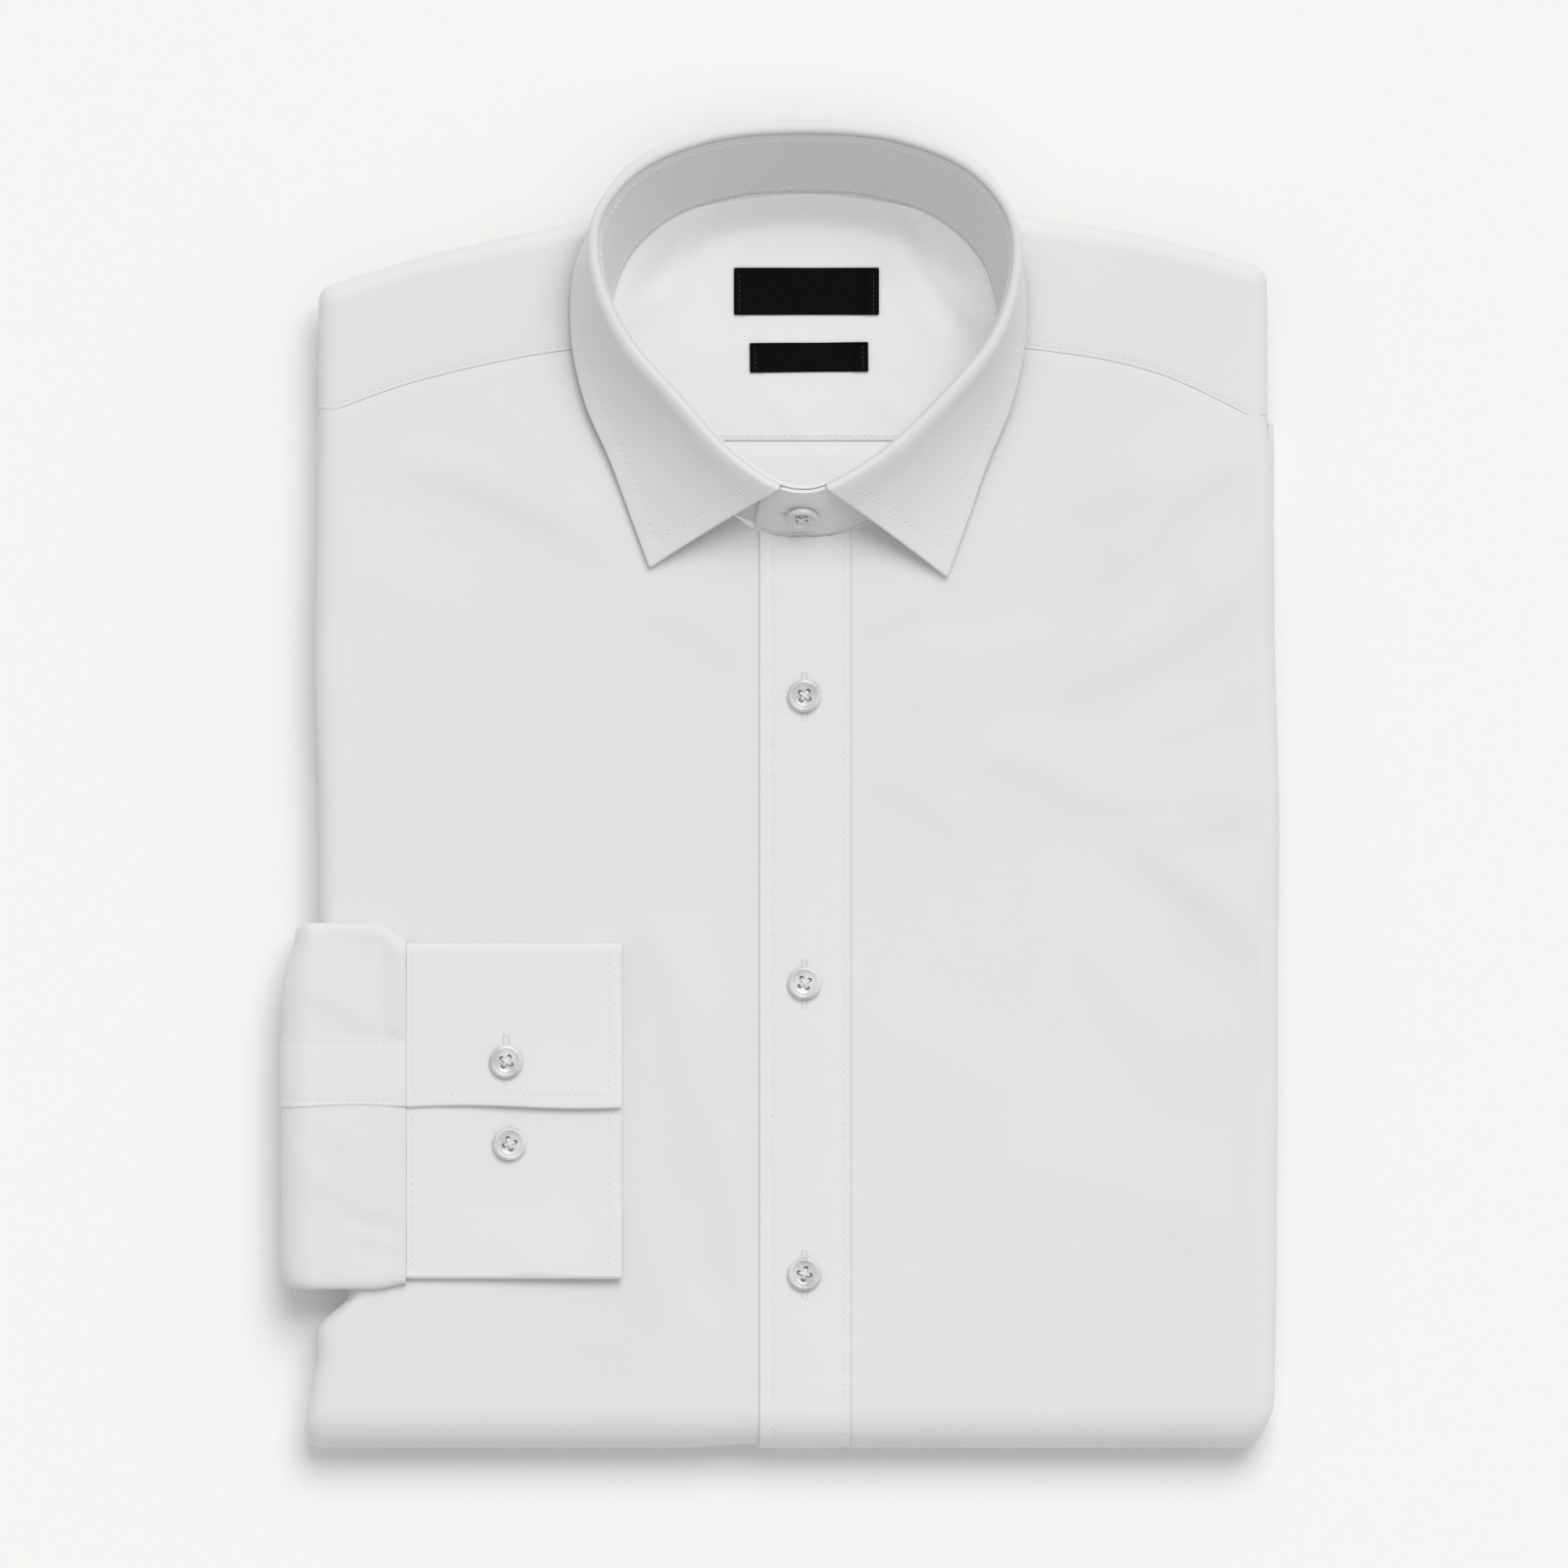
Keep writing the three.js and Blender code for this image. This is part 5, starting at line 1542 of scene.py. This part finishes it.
yoke_stitches = sew("yoke_stitches", [yoke_line_at(-148, -58), yoke_line_at(70, 156)])
inner_row = INNER_SEAM_Y + 1.8
inner_right, inner_left = (float(side) for side in dish_width(inner_row))
inner_stitches = sew("inner_yoke_stitches", [
    drop_line(inner_yoke, (inner_right + 1, inner_row), (inner_left - 1, inner_row))
])
cuff_end_row, cuff_seam_row = CUFF_END - CUFF_STITCH, CUFF_SEAM + SEAM_STITCH
flap_row = LAP_EDGE + CUFF_STITCH
round_cuff = [
    drop_line(cuff, (x, y_from), (x, y_to)) for x in (cuff_end_row, cuff_seam_row)
    for y_from, y_to in [(CUFF_HIGH - 3, flap_row), (LAP_EDGE - 2, CUFF_LOW + 2)]
]
cuff_stitches = sew("cuff_stitches", [
    *round_cuff, drop_line(cuff, (cuff_seam_row, flap_row), (cuff_end_row, flap_row)),
])
strip_stitches = sew("sleeve_placket_stitches", [
    drop_line(strip, (-154, y), (SLEEVE_END - 1, y)) for y in (LAP_EDGE + 2.4, SLIT_HIGH - 2.0)
])

# %% [markdown]
# ## Stitches of the collar
#
# The leaf is stitched 5.6 mm inside its edge, all the way from one front to the other. The stand has a row at
# its foot and one close under the roll of the leaf, seen inside the neck. A stitch of the leaf is found by
# walking over its grid: down each column to the right distance from the outer edge, and in from each front.

# %% Collar stitches
FALL_FIRST, FRONT_FIRST, FRONT_COLUMNS = 20, 18, 60  # where on the grid of the leaf each row is looked for


def walk_leaf(way, distance, other, first=0):
    """Where a line over the leaf reaches the row of stitches, if the other edge is far enough there."""
    place = np.interp(LEAF_STITCH * way, distance * way, np.arange(first, first + len(distance)))
    return place, np.interp(place, np.arange(len(other)), other) >= LEAF_STITCH


def leaf_row():
    """The row along the outer edge, from column to column."""
    rows = np.arange(len(leaf_v))
    points, normals = [], []
    for c in range(len(leaf_u)):
        place, clear = walk_leaf(-1, to_outer[FALL_FIRST:, c], to_front[:, c], FALL_FIRST)
        if clear:
            points.append(at_places(place, rows, leaf_outside[:, c]))
            normals.append(at_places(place, rows, leaf_out[:, c]))
    return np.array(points), np.array(normals)


def front_row(columns):
    """The row down one front, from row to row of the grid."""
    points, normals = [], []
    for r in range(FRONT_FIRST, len(leaf_v)):
        place, clear = walk_leaf(1, to_front[r, columns], to_outer[r, columns])
        if clear:
            points.append(at_places(place, np.arange(len(columns)), leaf_outside[r, columns]))
            normals.append(at_places(place, np.arange(len(columns)), leaf_out[r, columns]))
    return np.array(points), np.array(normals)


right_columns = np.arange(FRONT_COLUMNS)
left_columns = len(leaf_u) - 1 - right_columns
leaf_stitches = sew("collar_leaf_stitches", [leaf_row(), front_row(right_columns), front_row(left_columns)])


def stand_line(v, u_from, u_to, out):
    """A row of stitches on the stand. out: 1 on its outside and -1 inside the neck."""
    u = np.linspace(u_from, u_to, 400)
    rise = v * rounded_end(u)
    normal = -normals_of(stand_surface, u, rise) * out
    return stand_surface(u, rise) + normal * (STAND_WALL / 2 + 0.1 * (out < 0)), normal


stand_stitches = sew("collar_stand_stitches", [
    stand_line(STAND_STITCH["foot"], 0.09, 0.91, -1), stand_line(STAND_STITCH["top"], 0.09, 0.91, -1),
    stand_line(STAND_STITCH["foot"], 0.88, 0.99, 1), stand_line(STAND_STITCH["top"], 0.9, 0.985, 1),
])


# %% Label stitches
def label_line(piece, label, end):
    half_height = label["height"] / 2 - 0.8
    places = [label_place(label, end * (label["width"] / 2 - 1.7), up) for up in (-half_height, half_height)]
    return drop_line(piece, *places, 40)


label_stitches = sew("label_stitches", [
    label_line(piece, label, end) for piece, label in zip(label_pieces, labels) for end in (-1, 1)
], pitch=1.5, length=1.15, radius=0.13, material=black_thread)

# %% [markdown]
# ## Sewing on the buttons
#
# Each button sits on its cloth, turned a little as hands leave it, with a crossed thread through its four
# holes. The collar button stands on the slope of the lapped stand.

# %% Place the buttons
STRANDS = (-0.24, 0, 0.24)
BUTTON_THREAD = 0.21


def cross_of_thread():
    """Starts and ends of the threads of one button: three strands each way, and one up each hole."""
    bars = []
    for way, level in ((1, 1.95), (-1, 2.25)):
        tip = np.array([HOLE_AT, HOLE_AT * way, 0])
        for strand in STRANDS:
            middle = np.array([strand * 0.7, -strand * way * 0.7, level])
            bars.append((middle - tip, middle + tip))
    for hole in np.array(FOUR_HOLES):
        bars.append((hole + [0, 0, 0.1], hole * 0.93 + [0, 0, 2.05]))
    return bars


def add_button(name, at, facing, spin):
    facing = Vector(facing).normalized()
    turn = facing.to_track_quat("Z", "Y").to_matrix().to_4x4() @ Matrix.Rotation(math.radians(spin), 4, "Z")
    where = Matrix.Translation(Vector(in_frame(at))) @ turn
    piece = button_model.copy()
    piece.data = button_model.data.copy()
    piece.name = piece.data.name = name + "_pearl"
    scene.collection.objects.link(piece)
    piece.data.transform(where)
    finish(piece, shell_pearl, "button", name)
    starts, ends = (
        np.array([in_tables(where @ Vector(place * MM)) for place in places])
        for places in zip(*cross_of_thread())
    )
    sideways = where.to_3x3() @ Vector((1, 0, 0))
    thread_bars(name + "_thread", starts, ends, np.array([facing] * 6 + [sideways] * 4), radius=BUTTON_THREAD)


def add_flat_button(name, piece, x, y, spin):
    points, normals = on_piece(piece, x, y)
    add_button(name, points[0] + [0, 0, 0.12], (0, 0, 1), spin)


for k, (y, spin) in enumerate(zip(FRONT_BUTTONS, [8, -14, 31])):
    add_flat_button(f"front_button_{k + 1}", placket, BUTTON_LINE, y, spin)
for k, (x, y, spin) in enumerate([(-87, -87.6, 12), (-86, -113.6, -28)]):
    add_flat_button(f"cuff_button_{k + 1}", cuff, x, y, spin)
button_u = np.array([(ROWS_ROUND + 0.1 - STAND_START) / STAND_ROWS])
button_v = np.array([0.5])
button_out = -normals_of(stand_surface, button_u, button_v)[0]
button_at = stand_surface(button_u, button_v)[0] + button_out * (STAND_WALL / 2 + 0.15)
add_button("collar_button", button_at, button_out, 5)
bpy.data.objects.remove(button_model)

# %% [markdown]
# ## Buttonholes
#
# A shirt buttonhole is a slit with dense stitches across both of its lips and a bar at each end. It is a
# little longer than the button, so its ends show beyond the rim. On the placket and cuff they run along the
# band, on the collar they run round the neck.

# %% Buttonholes
HOLE_LONG, LIP_FROM, LIP_TO = 14.5, 0.22, 1.35
HOLE_PITCH = 0.42


def buttonhole(name, place):
    """place gives points and the way the cloth faces, from distances along and across the slit."""
    lips = np.arange(-HOLE_LONG / 2, HOLE_LONG / 2 + 0.01, HOLE_PITCH)
    bar = HOLE_LONG / 2 + np.array([0.1, 0.4, 0.7])
    rows = [
        (lips, -LIP_FROM, -LIP_TO), (lips, LIP_FROM, LIP_TO), (-bar, -LIP_TO, LIP_TO), (bar, -LIP_TO, LIP_TO),
    ]
    starts, facing = zip(*(place(along, first + 0 * along) for along, first, last in rows))
    ends = [place(along, last + 0 * along)[0] for along, first, last in rows]
    thread_bars(name, *(np.concatenate(part) for part in (starts, ends, facing)), radius=0.2)


def lengthways(piece, x, y):
    """Places round a buttonhole that runs along a flat band."""
    return lambda along, across: on_piece(piece, x + across, y + along)


def on_stand(along, across):
    row_length = np.linalg.norm(around(seam_ring, 17.9) - around(seam_ring, 18.1)) / 0.2
    foot, top = (stand_surface(button_u, np.array([share])) for share in (0.0, 1.0))
    u, v = button_u + along / row_length / STAND_ROWS, button_v + across / np.linalg.norm(top - foot)
    out = -normals_of(stand_surface, u, v)
    return stand_surface(u, v) + out * STAND_WALL / 2, out


for k, y in enumerate(FRONT_BUTTONS):
    buttonhole(f"front_buttonhole_{k + 1}", lengthways(placket, BUTTON_LINE, y))
buttonhole("cuff_buttonhole", lengthways(cuff, -87, -86.6))
buttonhole("collar_buttonhole", on_stand)

# %% [markdown]
# ## What the cloth measures
#
# A list gives for each sheet how big it was cut, so far as it shows, its area, how it is held, what it lies
# on and what is sewn on it, and the cut size is printed. Widths go across the body, lengths from the collar
# down and round the fold. The sleeve and the leaf are measured along their own middle.

front_buttonholes = [f"front_buttonhole_{k + 1}" for k in range(len(FRONT_BUTTONS))]
sheets = [
    (right_front, (0.176, 0.716), 0.1165, "folded", [hidden], []),
    (left_front, (0.145, 0.718), 0.0965, "folded", [hidden], []),
    (placket, (0.029, 0.718), 0.0195, "folded", [right_front], [placket_stitches, *front_buttonholes]),
    (yoke, (0.322, 0.057), 0.0110, "folded", [hidden], [yoke_stitches]),
    (stand, (0.402, 0.036), 0.0131, "folded", [yoke, back], [stand_stitches, "collar_buttonhole"]),
    (leaf, (0.383, 0.056), 0.0147, "folded", [stand, right_front, left_front], [leaf_stitches]),
    (inner_yoke, (0.129, 0.087), 0.0092, "laid", [back], [inner_stitches, label_stitches, *label_pieces]),
    (back, (0.090, 0.034), 0.0026, "laid", [hidden], []),
    (sleeve, (0.233, 0.067), 0.0140, "folded", [right_front], []),
    (strip, (0.022, 0.055), None, "folded", [sleeve], [strip_stitches]),
    (cuff, (0.068, 0.240), None, "folded", [right_front], [cuff_stitches, "cuff_buttonhole"]),
]
for piece, flat, area, held, rests_on, sewn_on in sheets:
    print(piece.name, "cut", flat, "m")

# %% [markdown]
# ## Floor and light
#
# A plain pale floor and soft studio light. A wide light shines from beyond the collar and a little from the
# right, so the front is evenly lit, the falling leaf is darker and the inside of the stand is in soft shade.

# %% Floor
FLOOR_SIZE, FLOOR_BELOW = 6.0, 0.0003
bpy.ops.object.select_all(action="DESELECT")
bpy.ops.mesh.primitive_plane_add(size=FLOOR_SIZE, location=(0, 0, -FLOOR_BELOW))
floor = bpy.context.object
floor.name = "floor"
floor.data.materials.append(new_material("pale_paper", {
    "Base Color": (0.93, 0.918, 0.905, 1), "Roughness": 0.95, "Specular IOR Level": 0.0,
}))

# %% Lights
world = bpy.data.worlds.new("studio")
scene.world = world
world.use_nodes = True
sky = world.node_tree.nodes["Background"]
sky.inputs["Color"].default_value = (1, 0.995, 0.99, 1)
sky.inputs["Strength"].default_value = 0.55
scene.view_settings.view_transform = "Standard"

SUN_FROM = Vector((0.16, 0.49, 0.85))
bpy.ops.object.light_add(type="SUN", location=SUN_FROM * 3)
sun = bpy.context.object
sun.name = "soft_light_from_beyond_the_collar"
sun.rotation_euler = SUN_FROM.to_track_quat("Z", "Y").to_euler()
sun.data.angle = math.radians(36)
sun.data.energy = 1.66
sun.data.color = (1, 0.998, 0.996)
